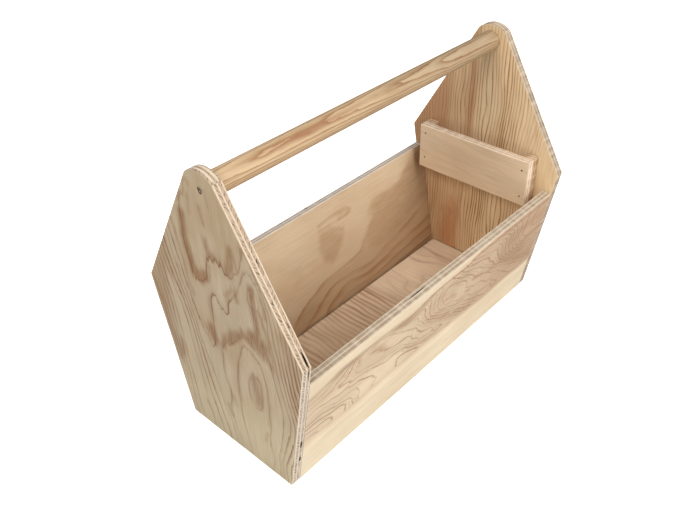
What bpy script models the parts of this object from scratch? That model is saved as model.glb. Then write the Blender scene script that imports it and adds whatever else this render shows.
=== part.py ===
"""Open carpenter's toolbox (tote) in plywood.

Two upright house-shaped end panels stand outside everything else.  Two side
panels lean outwards between them, flush with the slanted edges of the ends, and
a flat bottom panel lies between the sides.  A round dowel handle runs between
the peaks of the ends and is held by one countersunk cross-recess wood screw at
each end.  A tool rack, a board on two spacer blocks, is nailed to the inside of
the right end.  The corner and bottom joints hold hidden fluted dowel pins.

Frame: origin on the floor under the middle of the box, +X along the length
towards the right end, which has the rack, -Y towards the front side, +Z up.
Metres.  Throughout, `end` is -1 left or +1 right; `side` is -1 front or +1 back.
"""
import math

import bmesh
import bpy
from mathutils import Matrix, Vector

ENDS = (("left", -1), ("right", 1))
SIDES = (("front", -1), ("back", 1))

# ---------------------------------------------------------------- panels
LENGTH = 0.610            # over the outside faces of the end panels
PLY = 0.015               # thickness of every plywood piece
GAP = 0.0003              # joint line between two neighbouring pieces
EASE = 0.0006             # eased edge on every plywood piece
EASE_ANGLE = math.radians(30)   # only edges sharper than this are eased

BASE_W = 0.216            # end panel width on the floor
BASE_FILLET = 0.003
BASE_FILLET_STEPS = 5
SHOULDER_W = 0.300        # end panel width at the shoulders, its widest place
SHOULDER_Z = 0.251        # height of the shoulders
SHOULDER_FILLET = 0.004
SHOULDER_FILLET_STEPS = 4
PEAK_R = 0.0375           # radius of the rounded peak
PEAK_CENTRE_Z = 0.4338    # height of the centre of that radius
PEAK_CORNER_Y = 0.0251    # half distance between the soft corners of the peak
PEAK_CORNER_Z = 0.4617
PEAK_STEPS = 20

SIDE_H = 0.214            # vertical height of a side panel's outer face
LEAN = math.atan2((SHOULDER_W - BASE_W) / 2, SHOULDER_Z)    # of the side panels
SIDE_FACE_H = SIDE_H / math.cos(LEAN)                       # side panel, up its face
END_INNER_X = LENGTH / 2 - PLY                              # inner face of an end panel
INNER_HALF_LEN = END_INNER_X - GAP                          # side, bottom and handle
BOTTOM_HALF_W = BASE_W / 2 - PLY * math.cos(LEAN) - GAP

# ---------------------------------------------------------------- handle
HANDLE_R = 0.03175 / 2
HANDLE_Z = 0.4455         # height of the handle's axis
HANDLE_CHAMFER = 0.0008
HANDLE_STEPS = 48
HANDLE_SHARP_ANGLE = math.radians(35)

# ---------------------------------------------------------------- rack
RACK_W = 0.223            # board, and over the spacers
RACK_H = 0.084            # board and spacers
RACK_Z = 0.1895           # lower edge
SPACER_W = 0.020
SPACER_X = END_INNER_X - GAP - PLY    # face of the spacers towards the board
RACK_X = SPACER_X - GAP - PLY         # front face of the rack board

# ---------------------------------------------------------------- bores
BORE_PROUD = 0.002        # cutters start, and through cutters end, this far outside
BORE_STEPS = 16

# ---------------------------------------------------------------- joint pins
PIN_R = 0.004
PIN_LEN = 0.028
PIN_CHAMFER = 0.0012      # length of the tapered ends
PIN_END_SCALE = 0.72      # end face relative to the full section
PIN_FLUTES = 10
PIN_FLUTE_DEPTH = 0.0003
PIN_IN_END = 0.0092       # how far a pin enters an end panel
PIN_IN_SIDE = 0.0085      # how far a bottom pin enters a side panel
PIN_BORE_R = 0.0044
PIN_BORE_EXTRA = 0.0005   # a bore is deeper than the pin by this
END_PIN_BORE = PIN_IN_END + PIN_BORE_EXTRA                # depth in the end panel
EDGE_PIN_BORE = PIN_LEN - PIN_IN_END + PIN_BORE_EXTRA     # depth in the piece it meets

CORNER_PIN_ALONG = (0.036, 0.108, 0.180)    # side to end panels, up the outer face
BOTTOM_END_PIN_Y = (-0.050, 0.050)          # bottom to end panels
BOTTOM_SIDE_PIN_X = (-0.190, 0.0, 0.190)    # bottom to side panels
BOTTOM_PIN_Z = PLY / 2
BOTTOM_END_PINS = [(y, BOTTOM_PIN_Z) for y in BOTTOM_END_PIN_Y]
# the side panel's inner face at the height of the bottom pins
SIDE_INNER_Y = BASE_W / 2 + BOTTOM_PIN_Z * math.tan(LEAN) - PLY / math.cos(LEAN)

# ---------------------------------------------------------------- handle screws
SCREW_LEN = 0.048
SCREW_R = 0.0021          # shank and thread crest
SCREW_ROOT_R = 0.0014
SCREW_HEAD_R = 0.0042
SCREW_RIM = 0.0004        # straight rim of the head, before its 45 degree cone
SCREW_SET = 0.0010        # head surface lies this far below the panel's face
SCREW_STEPS = 14
SCREW_SHARP_ANGLE = math.radians(32)
SCREW_ROLL = {"left": 0.62, "right": 0.25}    # turn of the cross recess

THREAD_X = 0.0165         # the shank has narrowed to the thread root here
THREAD_SHOULDER = 0.0006  # length over which it narrows
THREAD_START = THREAD_X + 0.0003    # first point of the helix
THREAD_END_MARGIN = 0.0012          # kept free of thread when counting turns
THREAD_PITCH = 0.0026
THREAD_GROW = 1.2 * THREAD_PITCH    # length over which the ridge reaches full height
THREAD_MIN_CREST = 0.35   # share of the ridge that the point's taper leaves alone
POINT_LEN = 0.0060
POINT_MIN_TAPER = 0.12

SCREW_BORE_R = 0.0026
SCREW_BORE_EXTRA = 0.001  # bore in the handle is deeper than the screw by this
SCREW_BORE_STEPS = 20
COUNTERSINK_R = SCREW_HEAD_R + 0.00045
COUNTERSINK_STEPS = 28

RECESS_ARM = 0.0023       # reach of the cross's arms from the axis, at the head's face
RECESS_HALF_W = 0.00045   # half width of an arm there
# (local x, scale of the cross): the recess narrows inwards
RECESS_SECTIONS = ((-0.0010, 1.35), (0.0, 1.0), (0.0024, 0.34))

# ---------------------------------------------------------------- rack nails
NAIL_R = 0.0010
NAIL_LEN = 0.038
NAIL_HEAD_R = 0.0014
NAIL_HEAD_LEN = 0.0014    # rim and cone together
NAIL_RIM = 0.0009         # straight part of the head
NAIL_DIMPLE_R = 0.0007
NAIL_DIMPLE_DEPTH = 0.00025
NAIL_POINT_LEN = 0.0026
NAIL_SET = 0.0008         # head lies this far below the board's face
NAIL_STEPS = 12
NAIL_SHARP_ANGLE = math.radians(40)
NAIL_BORE_R = 0.00135
NAIL_BORE_EXTRA = 0.0006  # bore is deeper than the nail by this
NAIL_HEAD_BORE_R = NAIL_HEAD_R + 0.00035
# (y, z) of each nail; not quite in line
RACK_NAILS = ((0.0998, 0.2585), (0.0999, 0.2101), (-0.0999, 0.2557), (-0.1007, 0.2063))


# ---------------------------------------------------------------- scene helpers
def clear_scene():
    for ob in list(bpy.data.objects):
        bpy.data.objects.remove(ob, do_unlink=True)


def material(name, colour, roughness, metallic=0.0):
    mat = bpy.data.materials.new(name)
    mat.use_nodes = True
    bsdf = mat.node_tree.nodes["Principled BSDF"]
    bsdf.inputs["Base Color"].default_value = (*colour, 1.0)
    bsdf.inputs["Roughness"].default_value = roughness
    bsdf.inputs["Metallic"].default_value = metallic
    mat.diffuse_color = (*colour, 1.0)
    return mat


def make_mesh(name, bm, mat=None, sharp_angle=None):
    """Turn bm into a mesh, shaded smooth where a sharp angle is given."""
    bmesh.ops.recalc_face_normals(bm, faces=bm.faces[:])
    mesh = bpy.data.meshes.new(name)
    bm.to_mesh(mesh)
    bm.free()
    if sharp_angle is not None:
        mesh.shade_smooth()
        mesh.set_sharp_from_angle(angle=sharp_angle)
    if mat:
        mesh.materials.append(mat)
    return mesh


def add_object(name, mesh, parent=None, location=(0, 0, 0), rotation=(0, 0, 0)):
    ob = bpy.data.objects.new(name, mesh)
    bpy.context.scene.collection.objects.link(ob)
    ob.parent = parent
    ob.location = location
    ob.rotation_euler = rotation
    return ob


def add_plywood(name, bm, wood, root, location=(0, 0, 0), rotation=(0, 0, 0)):
    """A plywood piece with eased edges."""
    ob = add_object(name, make_mesh(name, bm, wood), root, location, rotation)
    mod = ob.modifiers.new("eased edges", "BEVEL")
    mod.width = EASE
    mod.segments = 1
    mod.limit_method = "ANGLE"
    mod.angle_limit = EASE_ANGLE
    return ob


def cut(ob, bm, suffix="_bores"):
    """Subtract the closed shapes in bm (world coordinates) from ob."""
    name = ob.name + suffix
    cutter = add_object(name, make_mesh(name, bm))
    cutter.hide_render = True
    cutter.display_type = "WIRE"
    mod = ob.modifiers.new("bores", "BOOLEAN")
    mod.operation = "DIFFERENCE"
    mod.solver = "EXACT"
    mod.object = cutter


# ---------------------------------------------------------------- shape helpers
def turned_point(x, radius, k, steps):
    """Point k of `steps` on a circle about the X axis."""
    angle = 2 * math.pi * k / steps
    return Vector((x, radius * math.cos(angle), radius * math.sin(angle)))


def bridge_rings(bm, rings):
    """Join successive rings of equal vertex count with quads."""
    for a, b in zip(rings, rings[1:]):
        for k in range(len(a)):
            n = (k + 1) % len(a)
            bm.faces.new((a[k], a[n], b[n], b[k]))


def add_loft(bm, sections):
    """A closed solid through sections, each a list of points."""
    rings = [[bm.verts.new(point) for point in section] for section in sections]
    bm.faces.new(rings[0])
    bm.faces.new(rings[-1])
    bridge_rings(bm, rings)


def add_revolved(bm, profile, steps, matrix=Matrix()):
    """Turn a profile [(axial, radius), ...] about local +X; a zero radius is a
    single point.  The first and last points lie on the axis."""
    rings = [[bm.verts.new(matrix @ turned_point(x, radius, k, steps))
              for k in range(steps if radius > 0 else 1)]
             for x, radius in profile]
    for a, b in zip(rings, rings[1:]):
        for k in range(steps):
            n = (k + 1) % steps
            if len(a) == 1:
                bm.faces.new((a[0], b[k], b[n]))
            elif len(b) == 1:
                bm.faces.new((a[k], b[0], a[n]))
            else:
                bm.faces.new((a[k], b[k], b[n], a[n]))


def add_bore(bm, mouth, direction, radius, depth, steps=BORE_STEPS):
    """A plain round cutter that starts a little outside the mouth."""
    turn = Vector((1, 0, 0)).rotation_difference(Vector(direction))
    matrix = Matrix.Translation(Vector(mouth)) @ turn.to_matrix().to_4x4()
    profile = [(-BORE_PROUD, 0), (-BORE_PROUD, radius), (depth, radius), (depth, 0)]
    add_revolved(bm, profile, steps, matrix)


def add_x_bores(bm, x, x_direction, places, radius, depth, steps=BORE_STEPS):
    """Bores along X at each (y, z) of places, all with their mouths at x."""
    for y, z in places:
        add_bore(bm, (x, y, z), (x_direction, 0, 0), radius, depth, steps)


def filleted(outline):
    """Round the corners of a closed outline of (u, v, radius, steps)."""
    points = []
    for i, (u, v, radius, steps) in enumerate(outline):
        corner = Vector((u, v))
        if radius <= 0:
            points.append(corner)
            continue
        to_last = (Vector(outline[i - 1][:2]) - corner).normalized()
        to_next = (Vector(outline[(i + 1) % len(outline)][:2]) - corner).normalized()
        half = to_last.angle(to_next) / 2
        tangent_len = radius / math.tan(half)
        centre = corner + (to_last + to_next).normalized() * (radius / math.sin(half))
        start = corner + to_last * tangent_len - centre
        stop = corner + to_next * tangent_len - centre
        turn = math.copysign(math.pi - 2 * half, start.x * stop.y - start.y * stop.x)
        for k in range(steps + 1):
            angle = turn * k / steps
            cos, sin = math.cos(angle), math.sin(angle)
            points.append(centre + Vector((start.x * cos - start.y * sin,
                                           start.x * sin + start.y * cos)))
    return points


def box_mesh(lo, hi):
    bm = bmesh.new()
    centre = Matrix.Translation([(a + b) / 2 for a, b in zip(lo, hi)])
    size = Matrix.Diagonal([b - a for a, b in zip(lo, hi)] + [1.0])
    bmesh.ops.create_cube(bm, size=1.0, matrix=centre @ size)
    return bm


def corner_pin_places(side):
    """(y, z) of the pins at the ends of a side panel, midway in its thickness."""
    depth = PLY / 2
    return [(side * (BASE_W / 2 + along * math.sin(LEAN) - depth * math.cos(LEAN)),
             along * math.cos(LEAN) + depth * math.sin(LEAN))
            for along in CORNER_PIN_ALONG]


# ---------------------------------------------------------------- plywood pieces
def end_outline():
    """(y, z) points of an end panel, counter-clockwise seen from the right."""
    start = math.atan2(PEAK_CORNER_Z - PEAK_CENTRE_Z, PEAK_CORNER_Y)
    outline = [(-BASE_W / 2, 0.0, BASE_FILLET, BASE_FILLET_STEPS),
               (BASE_W / 2, 0.0, BASE_FILLET, BASE_FILLET_STEPS),
               (SHOULDER_W / 2, SHOULDER_Z, SHOULDER_FILLET, SHOULDER_FILLET_STEPS)]
    for k in range(PEAK_STEPS + 1):
        angle = start + (math.pi - 2 * start) * k / PEAK_STEPS
        outline.append((PEAK_R * math.cos(angle),
                        PEAK_CENTRE_Z + PEAK_R * math.sin(angle), 0, 0))
    outline.append((-SHOULDER_W / 2, SHOULDER_Z, SHOULDER_FILLET, SHOULDER_FILLET_STEPS))
    return filleted(outline)


def add_screw_hole(bm, end):
    """Countersunk clearance hole through an end panel, from its outside face."""
    matrix = (Matrix.Translation((end * LENGTH / 2, 0, HANDLE_Z))
              @ Matrix.Rotation(0 if end < 0 else math.pi, 4, "Z"))
    cone_x = SCREW_SET + SCREW_RIM
    profile = [(-BORE_PROUD, 0), (-BORE_PROUD, COUNTERSINK_R), (cone_x, COUNTERSINK_R),
               (cone_x + COUNTERSINK_R - SCREW_BORE_R, SCREW_BORE_R),
               (PLY + BORE_PROUD, SCREW_BORE_R), (PLY + BORE_PROUD, 0)]
    add_revolved(bm, profile, COUNTERSINK_STEPS, matrix)


def end_panel(name, end, wood, root):
    outline = end_outline()
    bm = bmesh.new()
    add_loft(bm, [[(x, p.x, p.y) for p in outline] for x in (-PLY / 2, PLY / 2)])
    ob = add_plywood(name, bm, wood, root, location=(end * (LENGTH / 2 - PLY / 2), 0, 0))

    bm = bmesh.new()
    mouth = end * END_INNER_X
    pins = corner_pin_places(-1) + corner_pin_places(1) + BOTTOM_END_PINS
    add_x_bores(bm, mouth, end, pins, PIN_BORE_R, END_PIN_BORE)
    add_screw_hole(bm, end)
    if end > 0:
        depth = RACK_X + NAIL_SET + NAIL_LEN - END_INNER_X + NAIL_BORE_EXTRA
        add_x_bores(bm, mouth, 1, RACK_NAILS, NAIL_BORE_R, depth, NAIL_STEPS)
    cut(ob, bm)


def side_panel(name, side, wood, root):
    """Leaning panel with its origin on the lower edge of the outer face; its edges
    are cut square to its faces."""
    bm = box_mesh((-INNER_HALF_LEN, -PLY, 0), (INNER_HALF_LEN, 0, SIDE_FACE_H))
    ob = add_plywood(name, bm, wood, root, location=(0, side * BASE_W / 2, 0),
                     rotation=(-LEAN, 0, 0 if side > 0 else math.pi))

    bm = bmesh.new()
    for end in (-1, 1):
        add_x_bores(bm, end * INNER_HALF_LEN, -end, corner_pin_places(side),
                    PIN_BORE_R, EDGE_PIN_BORE)
    for x in BOTTOM_SIDE_PIN_X:
        add_bore(bm, (x, side * SIDE_INNER_Y, BOTTOM_PIN_Z), (0, side, 0),
                 PIN_BORE_R, PIN_IN_SIDE + PIN_BORE_EXTRA)
    cut(ob, bm)


def bottom_panel(wood, root):
    bm = box_mesh((-INNER_HALF_LEN, -BOTTOM_HALF_W, 0), (INNER_HALF_LEN, BOTTOM_HALF_W, PLY))
    ob = add_plywood("bottom_panel", bm, wood, root)

    bm = bmesh.new()
    for end in (-1, 1):
        add_x_bores(bm, end * INNER_HALF_LEN, -end, BOTTOM_END_PINS,
                    PIN_BORE_R, EDGE_PIN_BORE)
    pin_inner_y = SIDE_INNER_Y + PIN_IN_SIDE - PIN_LEN
    for side in (-1, 1):
        for x in BOTTOM_SIDE_PIN_X:
            add_bore(bm, (x, side * BOTTOM_HALF_W, BOTTOM_PIN_Z), (0, -side, 0),
                     PIN_BORE_R, BOTTOM_HALF_W - pin_inner_y + PIN_BORE_EXTRA)
    cut(ob, bm)


def rack_board(wood, root):
    bm = box_mesh((-PLY / 2, -RACK_W / 2, 0), (PLY / 2, RACK_W / 2, RACK_H))
    ob = add_plywood("rack_board", bm, wood, root, location=(RACK_X + PLY / 2, 0, RACK_Z))

    # stepped nail holes, wide for the heads
    bm = bmesh.new()
    step_x = NAIL_SET + NAIL_HEAD_LEN
    profile = [(-BORE_PROUD, 0), (-BORE_PROUD, NAIL_HEAD_BORE_R),
               (step_x, NAIL_HEAD_BORE_R), (step_x, NAIL_BORE_R),
               (PLY + BORE_PROUD, NAIL_BORE_R), (PLY + BORE_PROUD, 0)]
    for y, z in RACK_NAILS:
        add_revolved(bm, profile, NAIL_STEPS, Matrix.Translation((RACK_X, y, z)))
    cut(ob, bm)


def rack_spacer(name, side, wood, root):
    bm = box_mesh((-PLY / 2, -SPACER_W / 2, 0), (PLY / 2, SPACER_W / 2, RACK_H))
    ob = add_plywood(name, bm, wood, root,
                     location=(SPACER_X + PLY / 2, side * (RACK_W - SPACER_W) / 2, RACK_Z))

    bm = bmesh.new()
    nails = [(y, z) for y, z in RACK_NAILS if y * side > 0]
    add_x_bores(bm, SPACER_X, 1, nails, NAIL_BORE_R, PLY + BORE_PROUD, NAIL_STEPS)
    cut(ob, bm)


# ---------------------------------------------------------------- handle
def handle_dowel(wood, root):
    name = "handle_dowel"
    half, end_r = INNER_HALF_LEN, HANDLE_R - HANDLE_CHAMFER
    shoulder = half - HANDLE_CHAMFER
    bm = bmesh.new()
    add_revolved(bm, [(-half, 0), (-half, end_r), (-shoulder, HANDLE_R),
                      (shoulder, HANDLE_R), (half, end_r), (half, 0)], HANDLE_STEPS)
    ob = add_object(name, make_mesh(name, bm, wood, HANDLE_SHARP_ANGLE), root,
                    location=(0, 0, HANDLE_Z))

    bm = bmesh.new()
    depth = SCREW_LEN + SCREW_SET - PLY + SCREW_BORE_EXTRA
    for end in (-1, 1):
        add_x_bores(bm, end * INNER_HALF_LEN, -end, [(0, HANDLE_Z)],
                    SCREW_BORE_R, depth, SCREW_BORE_STEPS)
    cut(ob, bm)


# ---------------------------------------------------------------- fasteners
def thread_point(row, k):
    """Point k of a helical row; even rows are root, odd rows are crest."""
    x = THREAD_START + THREAD_PITCH * (row / 2 + k / SCREW_STEPS)
    taper = min(1.0, max(POINT_MIN_TAPER, (SCREW_LEN - x) / POINT_LEN))
    radius = SCREW_ROOT_R * taper
    if row % 2:
        grow = min(1.0, max(0.0, (x - THREAD_START) / THREAD_GROW))
        crest = THREAD_MIN_CREST + (1 - THREAD_MIN_CREST) * taper
        radius += (SCREW_R - SCREW_ROOT_R) * grow * crest
    return turned_point(x, radius, k, SCREW_STEPS)


def screw_mesh(steel):
    """Countersunk wood screw.  Local +X runs from the head's flat face to the
    point; the thread is a right-hand ridge that follows a helix."""
    bm = bmesh.new()
    profile = ((0.0, SCREW_HEAD_R), (SCREW_RIM, SCREW_HEAD_R),
               (SCREW_HEAD_R - SCREW_R + SCREW_RIM, SCREW_R),
               (THREAD_X - THREAD_SHOULDER, SCREW_R), (THREAD_X, SCREW_ROOT_R))
    head = [[bm.verts.new(turned_point(x, radius, k, SCREW_STEPS))
             for k in range(SCREW_STEPS)] for x, radius in profile]
    bm.faces.new(head[0])
    bridge_rings(bm, head)

    # one turn moves two rows along, so a row's end meets the start two rows on
    turns = int((SCREW_LEN - THREAD_END_MARGIN - THREAD_X) / THREAD_PITCH)
    last_row = 2 * turns - 1
    grid = [[bm.verts.new(thread_point(row, k)) for k in range(SCREW_STEPS)]
            for row in range(last_row + 1)]
    for i in range(last_row):
        for k in range(SCREW_STEPS - 1):
            bm.faces.new((grid[i][k], grid[i][k + 1], grid[i + 1][k + 1], grid[i + 1][k]))
        if i + 3 <= last_row:
            bm.faces.new((grid[i][-1], grid[i + 2][0], grid[i + 3][0], grid[i + 1][-1]))

    # the open edge at the start of the thread joins the shank's last ring
    shank, first = head[-1], grid[0]
    for k in range(SCREW_STEPS - 1):
        bm.faces.new((shank[k], shank[k + 1], first[k + 1], first[k]))
    bm.faces.new((shank[-1], grid[2][0], first[-1]))
    bm.faces.new((shank[-1], grid[1][0], grid[2][0]))
    bm.faces.new((shank[-1], shank[0], first[0], grid[1][0]))

    # the open edge at the other end runs to the point
    tip = bm.verts.new((SCREW_LEN, 0, 0))
    loop = grid[last_row] + [grid[last_row - 1][-1], grid[last_row - 2][-1]]
    for a, b in zip(loop, loop[1:] + loop[:1]):
        bm.faces.new((a, b, tip))
    return make_mesh("wood_screw", bm, steel, SCREW_SHARP_ANGLE)


def add_cross(bm, matrix):
    """Tapered cross for the driver recess."""
    arm, half = RECESS_ARM, RECESS_HALF_W
    cross = [(arm, -half), (arm, half), (half, half),
             (half, arm), (-half, arm), (-half, half),
             (-arm, half), (-arm, -half), (-half, -half),
             (-half, -arm), (half, -arm), (half, -half)]
    add_loft(bm, [[matrix @ Vector((x, u * scale, v * scale)) for u, v in cross]
                  for x, scale in RECESS_SECTIONS])


def handle_screws(steel, root):
    mesh = screw_mesh(steel)
    for label, end in ENDS:
        ob = add_object("handle_screw_" + label, mesh, root,
                        location=(end * (LENGTH / 2 - SCREW_SET), 0, HANDLE_Z),
                        rotation=(SCREW_ROLL[label], 0, 0 if end < 0 else math.pi))
        bm = bmesh.new()
        add_cross(bm, Matrix.Translation(ob.location) @ ob.rotation_euler.to_matrix().to_4x4())
        cut(ob, bm, "_recess")


def rack_nails(steel, root):
    """Finishing nails; local +X runs from the head to the point."""
    bm = bmesh.new()
    add_revolved(bm, [(NAIL_DIMPLE_DEPTH, 0), (0.0, NAIL_DIMPLE_R), (0.0, NAIL_HEAD_R),
                      (NAIL_RIM, NAIL_HEAD_R), (NAIL_HEAD_LEN, NAIL_R),
                      (NAIL_LEN - NAIL_POINT_LEN, NAIL_R), (NAIL_LEN, 0)], NAIL_STEPS)
    mesh = make_mesh("finishing_nail", bm, steel, NAIL_SHARP_ANGLE)
    for number, (y, z) in enumerate(RACK_NAILS, 1):
        add_object(f"rack_nail_{number}", mesh, root, location=(RACK_X + NAIL_SET, y, z))


def pin_mesh(wood):
    """Fluted dowel pin with chamfered ends, centred on its middle, along local X."""
    half, points = PIN_LEN / 2, 2 * PIN_FLUTES
    radii = [PIN_R if k % 2 else PIN_R - PIN_FLUTE_DEPTH for k in range(points)]
    bm = bmesh.new()
    add_loft(bm, [[turned_point(x, radius * scale, k, points)
                   for k, radius in enumerate(radii)]
                  for x, scale in ((-half, PIN_END_SCALE), (-half + PIN_CHAMFER, 1.0),
                                   (half - PIN_CHAMFER, 1.0), (half, PIN_END_SCALE))])
    return make_mesh("joint_pin", bm, wood)


def joint_pins(wood, root):
    mesh = pin_mesh(wood)
    x = END_INNER_X + PIN_IN_END - PIN_LEN / 2
    for end_label, end in ENDS:
        for side_label, side in SIDES:
            for number, (y, z) in enumerate(corner_pin_places(side), 1):
                add_object(f"corner_pin_{end_label}_{side_label}_{number}", mesh, root,
                           location=(end * x, y, z))
        for (side_label, _), (y, z) in zip(SIDES, BOTTOM_END_PINS):
            add_object(f"bottom_pin_{end_label}_{side_label}", mesh, root,
                       location=(end * x, y, z))
    y = SIDE_INNER_Y + PIN_IN_SIDE - PIN_LEN / 2
    for side_label, side in SIDES:
        for number, pin_x in enumerate(BOTTOM_SIDE_PIN_X, 1):
            add_object(f"bottom_pin_{side_label}_{number}", mesh, root,
                       location=(pin_x, side * y, BOTTOM_PIN_Z),
                       rotation=(0, 0, math.pi / 2))


def main():
    clear_scene()
    fir = material("fir plywood", colour=(0.56, 0.41, 0.25), roughness=0.62)
    rack_ply = material("rack plywood", colour=(0.60, 0.45, 0.29), roughness=0.60)
    pine = material("pine dowel", colour=(0.58, 0.38, 0.20), roughness=0.55)
    beech = material("beech pin", colour=(0.55, 0.38, 0.22), roughness=0.65)
    zinc = material("zinc steel", colour=(0.55, 0.54, 0.50), roughness=0.35, metallic=1.0)
    dark = material("dark steel", colour=(0.16, 0.14, 0.12), roughness=0.45, metallic=1.0)

    root = add_object("toolbox", None)
    for label, end in ENDS:
        end_panel(label + "_end_panel", end, fir, root)
    for label, side in SIDES:
        side_panel(label + "_side_panel", side, fir, root)
    bottom_panel(fir, root)
    handle_dowel(pine, root)
    rack_board(rack_ply, root)
    for label, side in SIDES:
        rack_spacer("rack_spacer_" + label, side, fir, root)
    handle_screws(zinc, root)
    rack_nails(dark, root)
    joint_pins(beech, root)
    bpy.context.view_layer.update()


main()
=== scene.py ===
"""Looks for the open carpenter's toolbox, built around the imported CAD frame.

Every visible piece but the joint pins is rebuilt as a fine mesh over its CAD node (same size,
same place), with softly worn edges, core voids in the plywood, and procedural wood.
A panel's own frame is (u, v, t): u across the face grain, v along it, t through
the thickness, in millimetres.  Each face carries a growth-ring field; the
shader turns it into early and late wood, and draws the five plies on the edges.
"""
import math

import bmesh
import bpy
import numpy as np
from mathutils import Matrix, Vector, noise


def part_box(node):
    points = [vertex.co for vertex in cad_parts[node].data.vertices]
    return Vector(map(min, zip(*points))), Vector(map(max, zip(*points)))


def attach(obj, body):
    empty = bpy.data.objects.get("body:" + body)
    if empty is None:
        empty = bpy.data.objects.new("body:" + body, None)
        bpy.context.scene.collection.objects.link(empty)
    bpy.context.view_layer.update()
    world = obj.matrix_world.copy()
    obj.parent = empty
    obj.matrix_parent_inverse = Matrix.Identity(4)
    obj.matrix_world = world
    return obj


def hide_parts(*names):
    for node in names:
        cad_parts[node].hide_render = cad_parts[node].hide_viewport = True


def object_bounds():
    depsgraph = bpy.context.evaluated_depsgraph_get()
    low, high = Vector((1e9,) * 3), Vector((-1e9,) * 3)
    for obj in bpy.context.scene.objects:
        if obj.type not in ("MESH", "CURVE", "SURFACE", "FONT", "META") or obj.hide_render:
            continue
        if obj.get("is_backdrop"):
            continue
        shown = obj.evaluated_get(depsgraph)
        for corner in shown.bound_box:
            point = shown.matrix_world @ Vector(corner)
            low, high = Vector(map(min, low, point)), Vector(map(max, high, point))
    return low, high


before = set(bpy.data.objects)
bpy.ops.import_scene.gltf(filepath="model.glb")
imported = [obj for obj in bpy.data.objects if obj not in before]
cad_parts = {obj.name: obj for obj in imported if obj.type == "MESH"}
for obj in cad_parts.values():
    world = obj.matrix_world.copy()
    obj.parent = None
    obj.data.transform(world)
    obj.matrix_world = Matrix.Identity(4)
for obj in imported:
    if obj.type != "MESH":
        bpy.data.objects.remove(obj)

CAD_LO, CAD_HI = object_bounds()
MM = 1000.0


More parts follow.
